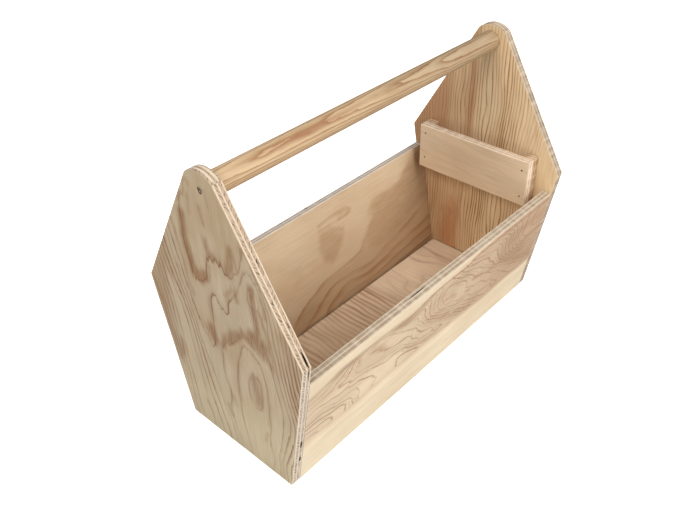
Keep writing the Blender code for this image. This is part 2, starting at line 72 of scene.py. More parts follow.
# =====================================================================  nodes
class Tree:
    """Small helper that builds a material's node tree."""

    def __init__(self, name):
        self.mat = bpy.data.materials.new(name)
        self.mat.use_nodes = True
        self.t = self.mat.node_tree
        self.t.nodes.clear()
        self.out = self.t.nodes.new("ShaderNodeOutputMaterial")
        self.bsdf = self.t.nodes.new("ShaderNodeBsdfPrincipled")
        self.t.links.new(self.bsdf.outputs[0], self.out.inputs[0])

    def put(self, socket, value):
        if isinstance(value, bpy.types.NodeSocket):
            self.t.links.new(value, socket)
        elif value is not None:
            if hasattr(socket.default_value, "__len__") and not hasattr(value, "__len__"):
                value = [value] * len(socket.default_value)
            if hasattr(value, "__len__") and len(socket.default_value) == 4 and len(value) == 3:
                value = (*value, 1.0)
            socket.default_value = value

    def m(self, op, a, b=None, c=None, clamp=False):
        n = self.t.nodes.new("ShaderNodeMath")
        n.operation = op
        n.use_clamp = clamp
        for s, x in zip(n.inputs, (a, b, c)):
            if x is not None:
                self.put(s, x)
        return n.outputs[0]

    def add(self, *xs):
        r = xs[0]
        for x in xs[1:]:
            r = self.m("ADD", r, x)
        return r

    def mul(self, *xs):
        r = xs[0]
        for x in xs[1:]:
            r = self.m("MULTIPLY", r, x)
        return r

    def sub(self, a, b):
        return self.m("SUBTRACT", a, b)

    def mad(self, a, b, c):
        return self.m("MULTIPLY_ADD", a, b, c)

    def step(self, x, lo, hi, a=0.0, b=1.0):
        n = self.t.nodes.new("ShaderNodeMapRange")
        n.interpolation_type = "SMOOTHSTEP"
        for s, v in zip((n.inputs[0], n.inputs[1], n.inputs[2], n.inputs[3], n.inputs[4]), (x, lo, hi, a, b)):
            self.put(s, v)
        return n.outputs[0]

    def attr(self, name):
        n = self.t.nodes.new("ShaderNodeAttribute")
        n.attribute_name = name
        return n.outputs["Fac"]

    def xyz(self, x, y, z):
        n = self.t.nodes.new("ShaderNodeCombineXYZ")
        for s, v in zip(n.inputs, (x, y, z)):
            self.put(s, v)
        return n.outputs[0]

    def split(self, v):
        n = self.t.nodes.new("ShaderNodeSeparateXYZ")
        self.put(n.inputs[0], v)
        return n.outputs[0], n.outputs[1], n.outputs[2]

    def noise(self, vec, scale=1.0, detail=2.0, rough=0.5, dist=0.0, lac=2.0):
        n = self.t.nodes.new("ShaderNodeTexNoise")
        n.noise_dimensions = "3D"
        self.put(n.inputs["Vector"], vec)
        n.inputs["Scale"].default_value = scale
        n.inputs["Detail"].default_value = detail
        n.inputs["Roughness"].default_value = rough
        n.inputs["Lacunarity"].default_value = lac
        n.inputs["Distortion"].default_value = dist
        return n.outputs[0]

    def white(self, w):
        n = self.t.nodes.new("ShaderNodeTexWhiteNoise")
        n.noise_dimensions = "1D"
        self.put(n.inputs["W"], w)
        return n.outputs["Value"]

    def ramp(self, fac, stops, interp="LINEAR"):
        n = self.t.nodes.new("ShaderNodeValToRGB")
        n.color_ramp.interpolation = interp
        el = n.color_ramp.elements
        while len(el) > 1:
            el.remove(el[-1])
        for i, (p, c) in enumerate(stops):
            e = el[0] if i == 0 else el.new(p)
            e.position = p
            e.color = (c, c, c, 1) if not hasattr(c, "__len__") else (*c, 1)
        self.put(n.inputs[0], fac)
        return n.outputs[0]

    def mix(self, fac, a, b, mode="MIX"):
        n = self.t.nodes.new("ShaderNodeMix")
        n.data_type = "RGBA"
        n.blend_type = mode
        n.clamp_factor = True
        ins = [s for s in n.inputs if s.type == "RGBA"]
        self.put(n.inputs[0], fac)
        self.put(ins[0], a)
        self.put(ins[1], b)
        return [s for s in n.outputs if s.type == "RGBA"][0]

    def mixf(self, fac, a, b):
        return self.mad(self.sub(b, a), fac, a)

    def gain(self, colour, value):
        """Multiply a colour by a number."""
        n = self.t.nodes.new("ShaderNodeVectorMath")
        n.operation = "SCALE"
        self.put(n.inputs[0], colour)
        self.put(n.inputs["Scale"], value)
        return n.outputs[0]

    def normal_along(self, axis):
        g = self.t.nodes.new("ShaderNodeNewGeometry")
        n = self.t.nodes.new("ShaderNodeVectorMath")
        n.operation = "DOT_PRODUCT"
        self.put(n.inputs[0], g.outputs["True Normal"])
        n.inputs[1].default_value = tuple(axis)
        return self.m("ABSOLUTE", n.outputs["Value"])

    def bump(self, height, strength, distance, prev=None):
        n = self.t.nodes.new("ShaderNodeBump")
        n.inputs["Strength"].default_value = strength
        n.inputs["Distance"].default_value = distance
        self.put(n.inputs["Height"], height)
        if prev is not None:
            self.put(n.inputs["Normal"], prev)
        return n.outputs[0]


def lin(r, g, b):
    """sRGB 0-255 to linear."""
    return tuple((c / 255 / 12.92) if c / 255 <= 0.04045 else ((c / 255 + 0.055) / 1.055) ** 2.4
                 for c in (r, g, b))


# =====================================================================  mesh helpers
def finish_mesh(name, bm, mat, sharp=14.0, node=None, body="root"):
    bmesh.ops.remove_doubles(bm, verts=bm.verts[:], dist=1e-7)
    bmesh.ops.recalc_face_normals(bm, faces=bm.faces[:])
    me = bpy.data.meshes.new(name)
    bm.to_mesh(me)
    bm.free()
    me.shade_smooth()
    me.set_sharp_from_angle(angle=math.radians(sharp))
    ob = bpy.data.objects.new(name, me)
    bpy.context.scene.collection.objects.link(ob)
    me.materials.append(mat)
    if node:
        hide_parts(node)
    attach(ob, body)
    return ob


def node_points(node):
    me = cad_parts[node].data
    co = np.zeros(len(me.vertices) * 3, np.float32)
    me.vertices.foreach_get("co", co)
    return co.reshape(-1, 3).astype(float)


def hull(points):
    """Convex outline of 2-D points, counter-clockwise."""
    pts = sorted(set(map(tuple, np.round(points, 7))))

    def half(seq):
        out = []
        for p in seq:
            while len(out) > 1 and (out[-1][0] - out[-2][0]) * (p[1] - out[-2][1]) - \
                    (out[-1][1] - out[-2][1]) * (p[0] - out[-2][0]) <= 1e-12:
                out.pop()
            out.append(p)
        return out
    a, b = half(pts), half(reversed(pts))
    return np.array(a[:-1] + b[:-1])


def subdivide_outline(poly, step, round_corners=0.0):
    """Round sharp corners a little and split long sides."""
    n = len(poly)
    out = []
    for i in range(n):
        p, a, b = poly[i], poly[i - 1], poly[(i + 1) % n]
        da, db = a - p, b - p
        la, lb = np.linalg.norm(da), np.linalg.norm(db)
        da, db = da / la, db / lb
        turn = math.pi - math.acos(max(-1, min(1, float(da @ db))))
        if round_corners > 0 and turn > 0.6 and min(la, lb) > 3 * round_corners:
            half = (math.pi - turn) / 2
            t = round_corners / math.tan(half)
            c = p + (da + db) / np.linalg.norm(da + db) * round_corners / math.sin(half)
            s, e = p + da * t - c, p + db * t - c
            for k in range(5):
                w = k / 4
                d = s * math.sin((1 - w) * turn) + e * math.sin(w * turn)
                out.append(c + d / math.sin(turn))
        else:
            out.append(p)
    res = []
    n = len(out)
    for i in range(n):
        p, q = out[i], out[(i + 1) % n]
        k = max(1, int(round(np.linalg.norm(q - p) / step)))
        for j in range(k):
            res.append(p + (q - p) * j / k)
    return np.array(res)


def inward(poly):
    """Unit vector pointing inwards at each point of a counter-clockwise outline."""
    nxt, prv = np.roll(poly, -1, 0), np.roll(poly, 1, 0)
    e1, e2 = poly - prv, nxt - poly
    n1 = np.stack([-e1[:, 1], e1[:, 0]], 1) / np.linalg.norm(e1, axis=1)[:, None]
    n2 = np.stack([-e2[:, 1], e2[:, 0]], 1) / np.linalg.norm(e2, axis=1)[:, None]
    s = n1 + n2
    return s / (s * n1).sum(1)[:, None].clip(0.3)


class Panel:
    """A flat board: outline in (u, v), thickness t from its outer face, all in metres."""

    def __init__(self, node, eu, ev, et, seed, wear=0.0010, rect=False):
        self.node = node
        self.eu, self.ev, self.et = (np.array(a, float) for a in (eu, ev, et))
        co = node_points(node)
        U, V, T = co @ self.eu, co @ self.ev, co @ self.et
        self.u0, self.u1, self.v0, self.v1 = U.min(), U.max(), V.min(), V.max()
        self.t0, self.T = T.min(), T.max() - T.min()
        if rect:
            self.poly = np.array([(self.u0, self.v0), (self.u1, self.v0), (self.u1, self.v1), (self.u0, self.v1)])
        else:
            self.poly = hull(np.stack([U, V], 1))
        self.seed, self.wear = seed, wear

    def world(self, u, v, t):
        return self.eu * u + self.ev * v + self.et * (self.t0 + t)

    def slab(self, step=0.006, corner=0.0015):
        """Board with rounded, slightly uneven edges."""
        outline = subdivide_outline(self.poly, step, corner)
        inn = inward(outline)
        n = len(outline)
        r = np.array([self.wear * (1 + 0.55 * noise.noise(Vector((p[0] * 23, p[1] * 23, self.seed * 3.1)))
                                   + 0.35 * noise.noise(Vector((p[0] * 140, p[1] * 140, self.seed * 1.7))))
                      for p in outline])
        r2 = np.array([self.wear * (1 + 0.55 * noise.noise(Vector((p[0] * 25, p[1] * 25, self.seed * 5.3 + 9)))
                                    + 0.35 * noise.noise(Vector((p[0] * 150, p[1] * 150, self.seed + 4))))
                       for p in outline])
        rows = []
        for k in range(4):
            a = math.pi / 2 * k / 3
            rows.append((r * (1 - math.sin(a)), r * (1 - math.cos(a))))
        inner = 5
        for k in range(1, inner):
            w = k / inner
            rough = np.array([0.00006 * (1 + noise.noise(Vector((p[0] * 90, p[1] * 90, k * 0.7 + self.seed))))
                              for p in outline])
            rows.append((rough, r * (1 - w) + (self.T - r2) * w))
        for k in range(3, -1, -1):
            a = math.pi / 2 * k / 3
            rows.append((r2 * (1 - math.sin(a)), self.T - r2 * (1 - math.cos(a))))
        bm = bmesh.new()
        rings = []
        for inset, depth in rows:
            pts = outline + inn * inset[:, None]
            rings.append([bm.verts.new(self.world(p[0], p[1], d)) for p, d in zip(pts, depth)])
        bm.faces.new(rings[0])
        bm.faces.new(rings[-1])
        for a, b in zip(rings, rings[1:]):
            for i in range(n):
                j = (i + 1) % n
                bm.faces.new((a[i], a[j], b[j], b[i]))
        bmesh.ops.recalc_face_normals(bm, faces=bm.faces[:])
        return bm

    def grid(self, bm, du, dv):
        """Cut the board into a grid so that the ring field has points to sit on."""
        for lo, hi, d, e in ((self.u0, self.u1, du, self.eu), (self.v0, self.v1, dv, self.ev)):
            n = int((hi - lo) / d)
            for k in range(1, n):
                x = lo + (hi - lo) * k / n + 0.00013
                bmesh.ops.bisect_plane(bm, geom=bm.verts[:] + bm.edges[:] + bm.faces[:], dist=1e-7,
                                       plane_co=Vector(e * x), plane_no=Vector(e))

    def attributes(self, ob, outer, inner):
        me = ob.data
        co = np.zeros(len(me.vertices) * 3, np.float32)
        me.vertices.foreach_get("co", co)
        co = co.reshape(-1, 3).astype(float)
        u, v, t = co @ self.eu * MM, co @ self.ev * MM, (co @ self.et - self.t0) * MM
        nxt = np.roll(self.poly, -1, 0)
        edge = nxt - self.poly
        nrm = np.stack([-edge[:, 1], edge[:, 0]], 1) / np.linalg.norm(edge, axis=1)[:, None]
        P = np.stack([u, v], 1)
        inset = np.full(len(u), 1e9)
        for p, nn, e in zip(self.poly * MM, nrm, edge):
            if np.linalg.norm(e) > 0.0002:
                inset = np.minimum(inset, (P - p) @ nn)
        names = ("ring", "fu", "fv", "amp", "tint", "patch", "halo")
        data = {n: np.zeros(len(u)) for n in names}
        for mask, fn in ((t < self.T * MM / 2, outer), (t >= self.T * MM / 2, inner)):
            if mask.any():
                a, b = u[mask], v[mask]
                got = fn(a, b)
                e = 0.8
                got["fu"] = np.abs(fn(a + e, b)["ring"] - fn(a - e, b)["ring"]) / (2 * e)
                got["fv"] = np.abs(fn(a, b + e)["ring"] - fn(a, b - e)["ring"]) / (2 * e)
                for n in names:
                    data[n][mask] = got.get(n, {"amp": 1.0, "halo": 2.4}.get(n, 0.0))
        data.update(gu=u, gv=v, gt=t, inset=inset)
        for name, vals in data.items():
            a = me.attributes.new(name, "FLOAT", "POINT")
            a.data.foreach_set("value", np.asarray(vals, np.float32))


def apply_cut(bm, cutter):
    """Boolean difference of two bmeshes."""
    a = bpy.data.meshes.new("tmp_a")
    bm.to_mesh(a)
    bm.free()
    cutter.normal_update()
    bmesh.ops.recalc_face_normals(cutter, faces=cutter.faces[:])
    if cutter.calc_volume(signed=True) < 0:
        bmesh.ops.reverse_faces(cutter, faces=cutter.faces[:])
    b = bpy.data.meshes.new("tmp_b")
    cutter.to_mesh(b)
    cutter.free()
    oa, ob = bpy.data.objects.new("tmp_a", a), bpy.data.objects.new("tmp_b", b)
    bpy.context.scene.collection.objects.link(oa)
    bpy.context.scene.collection.objects.link(ob)
    mod = oa.modifiers.new("cut", "BOOLEAN")
    mod.operation, mod.solver, mod.object = "DIFFERENCE", "EXACT", ob
    dg = bpy.context.evaluated_depsgraph_get()
    me = bpy.data.meshes.new_from_object(oa.evaluated_get(dg))
    bpy.data.objects.remove(oa)
    bpy.data.objects.remove(ob)
    out = bmesh.new()
    out.from_mesh(me)
    for x in (a, b, me):
        bpy.data.meshes.remove(x)
    return out


def revolve(bm, profile, steps, matrix):
    """Turn [(axial, radius), ...] about local +X; both ends lie on the axis."""
    rings = []
    for x, r in profile:
        if r <= 0:
            rings.append([bm.verts.new(matrix @ Vector((x, 0, 0)))])
        else:
            rings.append([bm.verts.new(matrix @ Vector((x, r * math.cos(2 * math.pi * k / steps),
                                                        r * math.sin(2 * math.pi * k / steps))))
                          for k in range(steps)])
    for a, b in zip(rings, rings[1:]):
        for k in range(steps):
            n = (k + 1) % steps
            if len(a) == 1:
                bm.faces.new((a[0], b[k], b[n]))
            elif len(b) == 1:
                bm.faces.new((a[k], b[0], a[n]))
            else:
                bm.faces.new((a[k], b[k], b[n], a[n]))


def blob(bm, centre, axes, radii, seed, rough=0.25):
    """Uneven rounded cavity shape."""
    r = bmesh.ops.create_icosphere(bm, subdivisions=3, radius=1.0)
    M = Matrix([[axes[j][i] for j in range(3)] for i in range(3)])
    if M.determinant() < 0:
        bmesh.ops.reverse_faces(bm, faces=list({f for vert in r["verts"] for f in vert.link_faces}))
    for vert in r["verts"]:
        k = 1 + rough * noise.noise(vert.co * 2.1 + Vector((seed, seed * 0.7, 3)))
        vert.co = Vector(centre) + M @ Vector([vert.co[i] * k * radii[i] for i in range(3)])


def pin_cutters(bm, names, grow=0.0004, steps=16):
    """Bores for the joint pins, from the pins' own boxes."""
    for n in names:
        lo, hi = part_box(n)
        size = hi - lo
        ax = max(range(3), key=lambda i: size[i])
        c = (lo + hi) / 2
        rad = 0.004 + grow
        half = size[ax] / 2 + 0.0005
        d = Vector([1.0 if i == ax else 0.0 for i in range(3)])
        m = Matrix.Translation(c) @ Vector((1, 0, 0)).rotation_difference(d).to_matrix().to_4x4()
        revolve(bm, [(-half, 0), (-half, rad), (half, rad), (half, 0)], steps, m)


# =====================================================================  growth-ring fields
def tps(points, squash=0.42):
    """Smooth field through (u, v, value) points; v is compressed because wood figure is long
    along the grain."""
    pts = np.array(points, float)
    xy = pts[:, :2] * [1, squash]

    def kernel(a, b):
        d2 = ((a[:, None] - b[None]) ** 2).sum(2)
        return 0.5 * d2 * np.log(d2 + 1e-6)
    n = len(pts)
    A = np.zeros((n + 3, n + 3))
    A[:n, :n] = kernel(xy, xy) + np.eye(n) * 2.0
    A[:n, n:] = np.c_[np.ones(n), xy]
    A[n:, :n] = A[:n, n:].T
    w = np.linalg.solve(A, np.r_[pts[:, 2], 0, 0, 0])

    def field(u, v):
        out = np.zeros(len(u))
        for i in range(0, len(u), 4000):
            q = np.stack([u[i:i + 4000], v[i:i + 4000] * squash], 1)
            out[i:i + 4000] = kernel(q, xy) @ w[:n] + w[n] + q @ w[n + 1:]
        return out
    return field


def lines(spec, fu, fv):
    """Points of ring lines {ring: [[(a, b), ...], ...]} mapped to (u, v)."""
    out = []
    for ring, polys in spec.items():
        for poly in polys:
            out += [(fu(a, b), fv(a, b), ring) for a, b in poly]
    return out


def gauss(x, y, cx, cy, sx, sy):
    return np.exp(-((x - cx) / sx) ** 2 - ((y - cy) / sy) ** 2)


def perlin(u, v, su, sv, seed):
    return np.array([noise.noise(Vector((a / su, b / sv, seed))) for a, b in zip(u, v)])


def smooth(x, a, b):
    t = np.clip((x - a) / (b - a), 0, 1)
    return t * t * (3 - 2 * t)


def strokes(x, y, spec, stretch=1.0):
    """Soft brush marks: [(points, half width, strength), ...] -> strongest mark at each place."""
    out = np.zeros(len(x))
    for pts, width, strength in spec:
        d2 = np.full(len(x), 1e12)
        for (ax, ay), (bx, by) in zip(pts, pts[1:]):
            ex, ey = bx - ax, by - ay
            w = np.clip(((x - ax) * ex + (y - ay) * ey) / max(1e-9, ex * ex + ey * ey), 0, 1)
            d2 = np.minimum(d2, (x - ax - w * ex) ** 2 + ((y - ay - w * ey) / stretch) ** 2)
        out = np.maximum(out, strength * np.exp(-d2 / width ** 2))
    return out


def region(x, y, poly, soft):
    """1 inside a closed outline, 0 outside, with a linear border 2*soft wide."""
    inside = np.zeros(len(x), bool)
    d2 = np.full(len(x), 1e12)
    for (ax, ay), (bx, by) in zip(poly, poly[1:] + poly[:1]):
        ex, ey = bx - ax, by - ay
        w = np.clip(((x - ax) * ex + (y - ay) * ey) / max(1e-9, ex * ex + ey * ey), 0, 1)
        d2 = np.minimum(d2, (x - ax - w * ex) ** 2 + (y - ay - w * ey) ** 2)
        if ay != by:
            inside ^= ((ay > y) != (by > y)) & (x < (bx - ax) * (y - ay) / (by - ay) + ax)
    d = np.sqrt(d2) * np.where(inside, 1, -1)
    return np.clip(0.5 + d / (2 * soft), 0, 1)


def generic(seed, spacing=11.0, peak=0.0, lam=75.0, width=62.0, amp=0.7, tint=0.0, tilt=0.0):
    """Plain rotary-cut figure: nested arches along a centre line, straight grain beside it."""
    def fn(u, v):
        uu = u - peak - tilt * v + 14 * perlin(u * 0 + 1, v, 1, 160, seed)
        arch = np.sqrt((uu / width) ** 2 + 0.06) * (width / spacing)
        F = arch + v / lam + 1.0 * perlin(u, v, 60, 210, seed + 3) + 0.5 * perlin(u, v, 24, 90, seed + 7)
        A = amp * (0.75 + 0.5 * perlin(u, v, 90, 260, seed + 11))
        blot = perlin(u, v, 26, 120, seed + 17) + 0.4 * perlin(u, v, 11, 50, seed + 19)
        return dict(ring=F, amp=A.clip(0.1), tint=tint + 0.20 * perlin(u, v, 80, 300, seed + 5), patch=(blot * 1.3 - 0.25).clip(0, 1),
                    halo=2.4 + 1.4 * perlin(u, v, 40, 100, seed + 13))
    return fn


# =====================================================================  plywood material
EARLY_A, EARLY_B = lin(226, 201, 163), lin(215, 184, 146)
LATE, LATE_RED = lin(166, 116, 68), lin(150, 92, 58)


def plywood(name, P, seed, early_a=EARLY_A, early_b=EARLY_B, late=LATE, red=LATE_RED, figure=1.0,
            jag=1.0, edge_light=lin(234, 213, 184), edge_dark=lin(160, 122, 94), gain=(1, 1, 1), fuzz=1.0,
            patch_colour=lin(168, 122, 80), patch_mix=0.6, core_width=1.9, tick_mix=0.72, soft=0.30,
            core_mix=0.62, fade_mix=0.50, lead=1.0, streak=1.0,
            pale_below=None, edge_lit_gain=None, even=0.0, second=0.0, seam_shade=0.0):
    k = Tree(name)
    gu, gv, gt = k.attr("gu"), k.attr("gv"), k.attr("gt")
    ring, fu, fv = k.attr("ring"), k.attr("fu"), k.attr("fv")
    amp, tint, inset, patch, halo = (k.attr(n) for n in ("amp", "tint", "inset", "patch", "halo"))
    T = P.T * MM
    s = float(seed)

    def grain(a, b, off, detail=2.0, rough=0.55):
        """Noise a mm wide across the grain and b mm long along it."""
        return k.noise(k.xyz(k.mul(gu, 1.0 / a), k.mul(gv, 1.0 / b), s + off), detail=detail, rough=rough)

    # ---- face veneer: growth lines, shifted along the grain by a saw-toothed noise
    j1, j2, j3, j4 = grain(3.4, 60, 0), grain(1.2, 26, 5), grain(9.0, 60, 7), grain(14.0, 90, 9)
    slip = k.add(k.mul(k.sub(j1, 0.5), 15.0 * jag), k.mul(k.sub(j2, 0.5), 5.0 * jag))
    F = k.add(ring, k.mul(fv, slip), k.mul(fu, k.mul(k.sub(j3, 0.5), 2.6)), k.mul(k.sub(j4, 0.5), 0.30))
    g = k.m("MAXIMUM", k.m("SQRT", k.add(k.mul(fu, fu), k.mul(fv, fv))), 0.012)
    fr = k.m("FRACT", F)
    past, ahead = k.m("DIVIDE", fr, g), k.m("DIVIDE", k.sub(1.0, fr), g)
    own = k.white(k.m("FLOOR", F))
    wid = k.mul(k.mad(own, 0.5, 0.75), k.mad(grain(20, 70, 13), 0.9, 0.55), core_width)
    core = k.m("MAXIMUM", k.step(past, k.mul(wid, 1.35), k.mul(wid, 0.25), 0.0, 1.0), k.step(ahead, 0.4 * core_width * lead, 0.0))
    fade = k.m("EXPONENT", k.m("DIVIDE", k.mul(past, -1.0), k.m("MAXIMUM", k.mul(halo, k.mad(grain(7, 50, 15), 1.4, 0.3)), 0.4)))
    if second:      # a weaker line between the main ones
        f2 = k.m("FRACT", k.add(F, k.mad(grain(30, 80, 27), 0.5, 0.25)))
        mid = k.step(k.m("DIVIDE", f2, g), core_width * 1.5, core_width * 0.2)
        core = k.m("MAXIMUM", core, k.mul(mid, second, k.step(g, 0.035, 0.075)))
    cloud = grain(55, 120, 8)
    where = k.mad(k.step(grain(30, 100, 11), 0.30, 0.70), 0.75, 0.45)
    dark = k.m("MINIMUM", k.mul(k.add(k.mul(core, core_mix), k.mul(fade, fade_mix)), k.mad(own, 0.45, 0.72), amp, figure, where), 1.0)
    fib, fib2 = grain(0.55, 26, 2, 3, 0.65), grain(2.0, 95, 3, 3, 0.6)
    base = k.mix(k.step(cloud, 0.32, 0.68), early_a, early_b)
    base = k.mix(k.mul(k.m("MAXIMUM", tint, 0.0), 0.9), base, red)
    base = k.mix(k.mul(k.m("MAXIMUM", k.mul(tint, -1.0), 0.0), 0.55), base, lin(240, 222, 184))
    pn = k.add(patch, k.mul(k.sub(grain(1.8, 34, 17, 3, 0.6), 0.5), 0.60), k.mul(k.sub(grain(7, 40, 19), 0.5), 0.40))
    stain = k.mul(k.step(pn, 0.48 - soft, 0.48 + soft), k.step(patch, 0.02, 0.30), k.m("MAXIMUM", k.mad(k.step(grain(1.3, 34, 23, 3, 0.65), 0.30, 0.66), 0.95 * streak, 1.05 - 0.70 * streak), 0.0))
    base = k.mix(k.mul(stain, patch_mix), base, patch_colour)
    base = k.gain(base, k.mad(own, 0.07, 0.965))
    col = k.mix(k.mul(dark, 0.90), base, k.mix(k.mad(cloud, 0.5, 0.05), late, red))
    tick = k.step(grain(0.42, 5.5, 21, 1), 0.70, 0.80)
    col = k.mix(k.mul(tick, 0.32), col, lin(120, 84, 52))
    col = k.gain(col, k.add(1.0, k.mul(k.sub(fib, 0.5), 0.36 * fuzz), k.mul(k.sub(fib2, 0.5), 0.42)))
    # ---- edges: five plies, alternate ones turned across
    wob = k.noise(k.xyz(k.mul(gu, 1 / 30.0), k.mul(gv, 1 / 30.0), s + 31), detail=2)
    tt = k.mul(k.add(gt, k.mul(k.sub(wob, 0.5), 0.8)), 1 / T)
    cross = k.ramp(tt, [(0.0, 0), (0.150, 0), (0.160, 1), (0.410, 1), (0.42, 0), (0.575, 0), (0.585, 1),
                        (0.838, 1), (0.848, 0), (1.0, 0)])
    glue = k.ramp(tt, [(0.0, 0), (0.135, 0), (0.155, 1), (0.175, 0), (0.395, 0), (0.415, 1), (0.435, 0),
                       (0.56, 0), (0.58, 1), (0.60, 0), (0.823, 0), (0.843, 1), (0.863, 0)])
    end_v, end_u = k.normal_along(P.ev), k.normal_along(P.eu)
    endness = k.step(k.mixf(cross, end_v, end_u), 0.38, 0.95)
    across = k.mixf(cross, k.noise(k.xyz(k.mul(gt, 1 / 0.45), k.mul(gu, 1 / 0.45), k.mul(gv, 1 / 16.0)), detail=3, rough=0.6),
                    k.noise(k.xyz(k.mul(gt, 1 / 0.45), k.mul(gu, 1 / 16.0), k.mul(gv, 1 / 0.45)), detail=3, rough=0.6))
    # growth rings seen in section: slanting ticks inside a ply
    run = k.mixf(cross, gu, gv)
    lean = k.mixf(k.m("GREATER_THAN", tt, 0.5), 0.17, -0.19)
    wob2 = k.noise(k.xyz(k.mul(gu, 1 / 14.0), k.mul(gv, 1 / 14.0), k.mad(gt, 0.1, s)), detail=2)
    tickf = k.m("FRACT", k.add(k.mul(gt, 0.26), k.mul(run, lean), k.mul(wob2, 2.0)))
    ticks = k.ramp(tickf, [(0.0, 0.1), (0.06, 1.0), (0.30, 0.9), (0.46, 0.1), (1.0, 0.0)])
    some = k.step(k.noise(k.xyz(k.mul(gu, 1 / 9.0), k.mul(gv, 1 / 9.0), k.mad(gt, 0.35, s + 4)), detail=2), 0.36, 0.56)
    ticks = k.mul(ticks, some)
    uneven = k.noise(k.xyz(k.mul(gu, 1 / 22.0), k.mul(gv, 1 / 22.0), k.mad(gt, 0.5, s + 41)), detail=3)
    edge = k.mix(k.mul(endness, k.mad(uneven, 1.1 * (1 - even), 0.25 + 0.55 * even)), edge_light, edge_dark)
    if pale_below is not None:
        pale = k.mul(k.step(gv, pale_below + 6.0, pale_below - 4.0), k.mad(uneven, 0.8, 0.25))
        speck = k.step(k.noise(k.xyz(k.mul(gt, 1 / 1.3), k.mul(gu, 1 / 3.0), k.mul(gv, 1 / 3.4)), detail=1), 0.60, 0.66)
        edge = k.mix(k.mul(pale, 0.85), edge, lin(234, 222, 206))
        edge = k.mix(k.mul(speck, pale, cross), edge, lin(84, 66, 56))
    edge = k.mix(k.mul(ticks, k.mad(endness, tick_mix, 0.05)), edge, lin(84, 54, 38))
    edge = k.mix(k.mul(glue, 0.55), edge, lin(104, 76, 54))
    edge = k.gain(edge, k.add(1.0, k.mul(k.sub(across, 0.5), 0.55), k.mul(k.sub(wob, 0.5), 0.22)))
    # painted light: lifts the edges back up against a face darkened by its gain, as a lit copy of the same plywood
    if edge_lit_gain is not None:
        n = k.t.nodes.new("ShaderNodeVectorMath")
        n.operation = "MULTIPLY"
        k.put(n.inputs[0], edge)
        n.inputs[1].default_value = edge_lit_gain
        edge = n.outputs[0]
    facing = k.step(k.normal_along(P.et), 0.72, 0.90)
    col = k.mix(facing, edge, col)
    # painted shade: the walls inside bores, holes and core voids are darkened almost to black, standing in for the
    # shade deep inside them
    hole = k.mul(k.step(inset, 0.5, 1.5), k.step(gt, 0.5, 1.0), k.step(gt, T - 0.5, T - 1.0))
    col = k.mix(k.mul(hole, 0.93), col, lin(36, 25, 18))
    if seam_shade:        # painted shade: a dark hairline along the joint around the first face, standing in for the shadow in the gap where the other boards meet it
        gap_shade = k.mul(k.step(inset, 3.4, 1.0), k.step(gt, 2.4, 1.4), k.mad(k.step(grain(30, 30, 37), 0.30, 0.62), 0.45, 0.55))
        col = k.mix(k.mul(gap_shade, seam_shade), col, lin(58, 38, 24))
    # worn arrises, a touch paler: partly real wear, partly a painted highlight along the rounded edges
    worn = k.mul(k.step(inset, 1.7, 0.2), k.step(k.noise(k.xyz(k.mul(gu, 0.12), k.mul(gv, 0.12), s), detail=3), 0.35, 0.7))
    col = k.mix(k.mul(worn, 0.0 if seam_shade else 0.30), col, lin(236, 218, 190))
    # painted light and shade: gain is one colour multiplier per panel; besides each panel's own tone it darkens the
    # near end panel as a shaded copy of the plywood and lifts the bottom board and the rack as lit copies
    n = k.t.nodes.new("ShaderNodeVectorMath")
    n.operation = "MULTIPLY"
    k.put(n.inputs[0], col)
    n.inputs[1].default_value = gain
    k.put(k.bsdf.inputs["Base Color"], n.outputs[0])
    rough = k.add(k.mixf(facing, 0.84, 0.60), k.mul(k.sub(fib, 0.5), 0.22), k.mul(dark, -0.06))
    k.put(k.bsdf.inputs["Roughness"], rough)
    k.bsdf.inputs["Specular IOR Level"].default_value = 0.30
    face_h = k.add(k.mul(fib, 0.55), k.mul(fib2, 0.35), k.mul(dark, 0.5), k.mul(tick, -0.6))
    edge_h = k.add(k.mul(across, 1.6), k.mul(ticks, -0.8), k.mul(glue, -0.9))
    k.put(k.bsdf.inputs["Normal"], k.bump(k.mixf(facing, edge_h, face_h), 0.55, 0.00016))
    return k.mat


# =====================================================================  boards
pins = [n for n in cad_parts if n.startswith(("corner_pin", "bottom_pin"))]


def lean_axes(node):
    """Directions along and out of a leaning side panel, from its own cross-section."""
    co = node_points(node)[:, 1:]
    h = hull(co)
    e = np.roll(h, -1, 0) - h
    d = e[np.argmax(np.linalg.norm(e, axis=1))]
    d = d / np.linalg.norm(d)
    if d[1] < 0:
        d = -d
    side = 1.0 if co[:, 0].mean() > 0 else -1.0
    out = np.array([d[1] * side, -d[0] * side])        # outward normal in (y, z)
    return np.array([0, d[0], d[1]]), np.array([0, -out[0], -out[1]])


def screw_hole(bm, x_face, direction, centre):
    """Countersunk hole for a handle screw, as in the CAD panel."""
    d = Vector((direction, 0, 0))
    m = Matrix.Translation((x_face, centre[1], centre[2])) @ Vector((1, 0, 0)).rotation_difference(d).to_matrix().to_4x4()
    head, bore, depth = 0.00465, 0.0026, 0.0014
    revolve(bm, [(-0.003, 0), (-0.003, head + 0.0004), (0.0, head + 0.00035), (0.0004, head), (depth, head),
                 (depth + head - bore, bore), (0.018, bore), (0.018, 0)], 48, m)


def nail_holes(bm, x_from, x_to, only=None, mouth=None):
    for k in range(1, 5):
        lo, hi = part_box("rack_nail_%d" % k)
        c = (lo + hi) / 2
        if only is not None and only(c):
            continue
        prof = [(0, 0), (0, 0.00135), (x_to - x_from, 0.00135), (x_to - x_from, 0)]
        if mouth is not None:
            prof = [(0, 0), (0, 0.0018), (mouth, 0.00175), (mouth, 0.00135), (x_to - x_from, 0.00135), (x_to - x_from, 0)]
        revolve(bm, prof, 20, Matrix.Translation((x_from, c[1], c[2])))


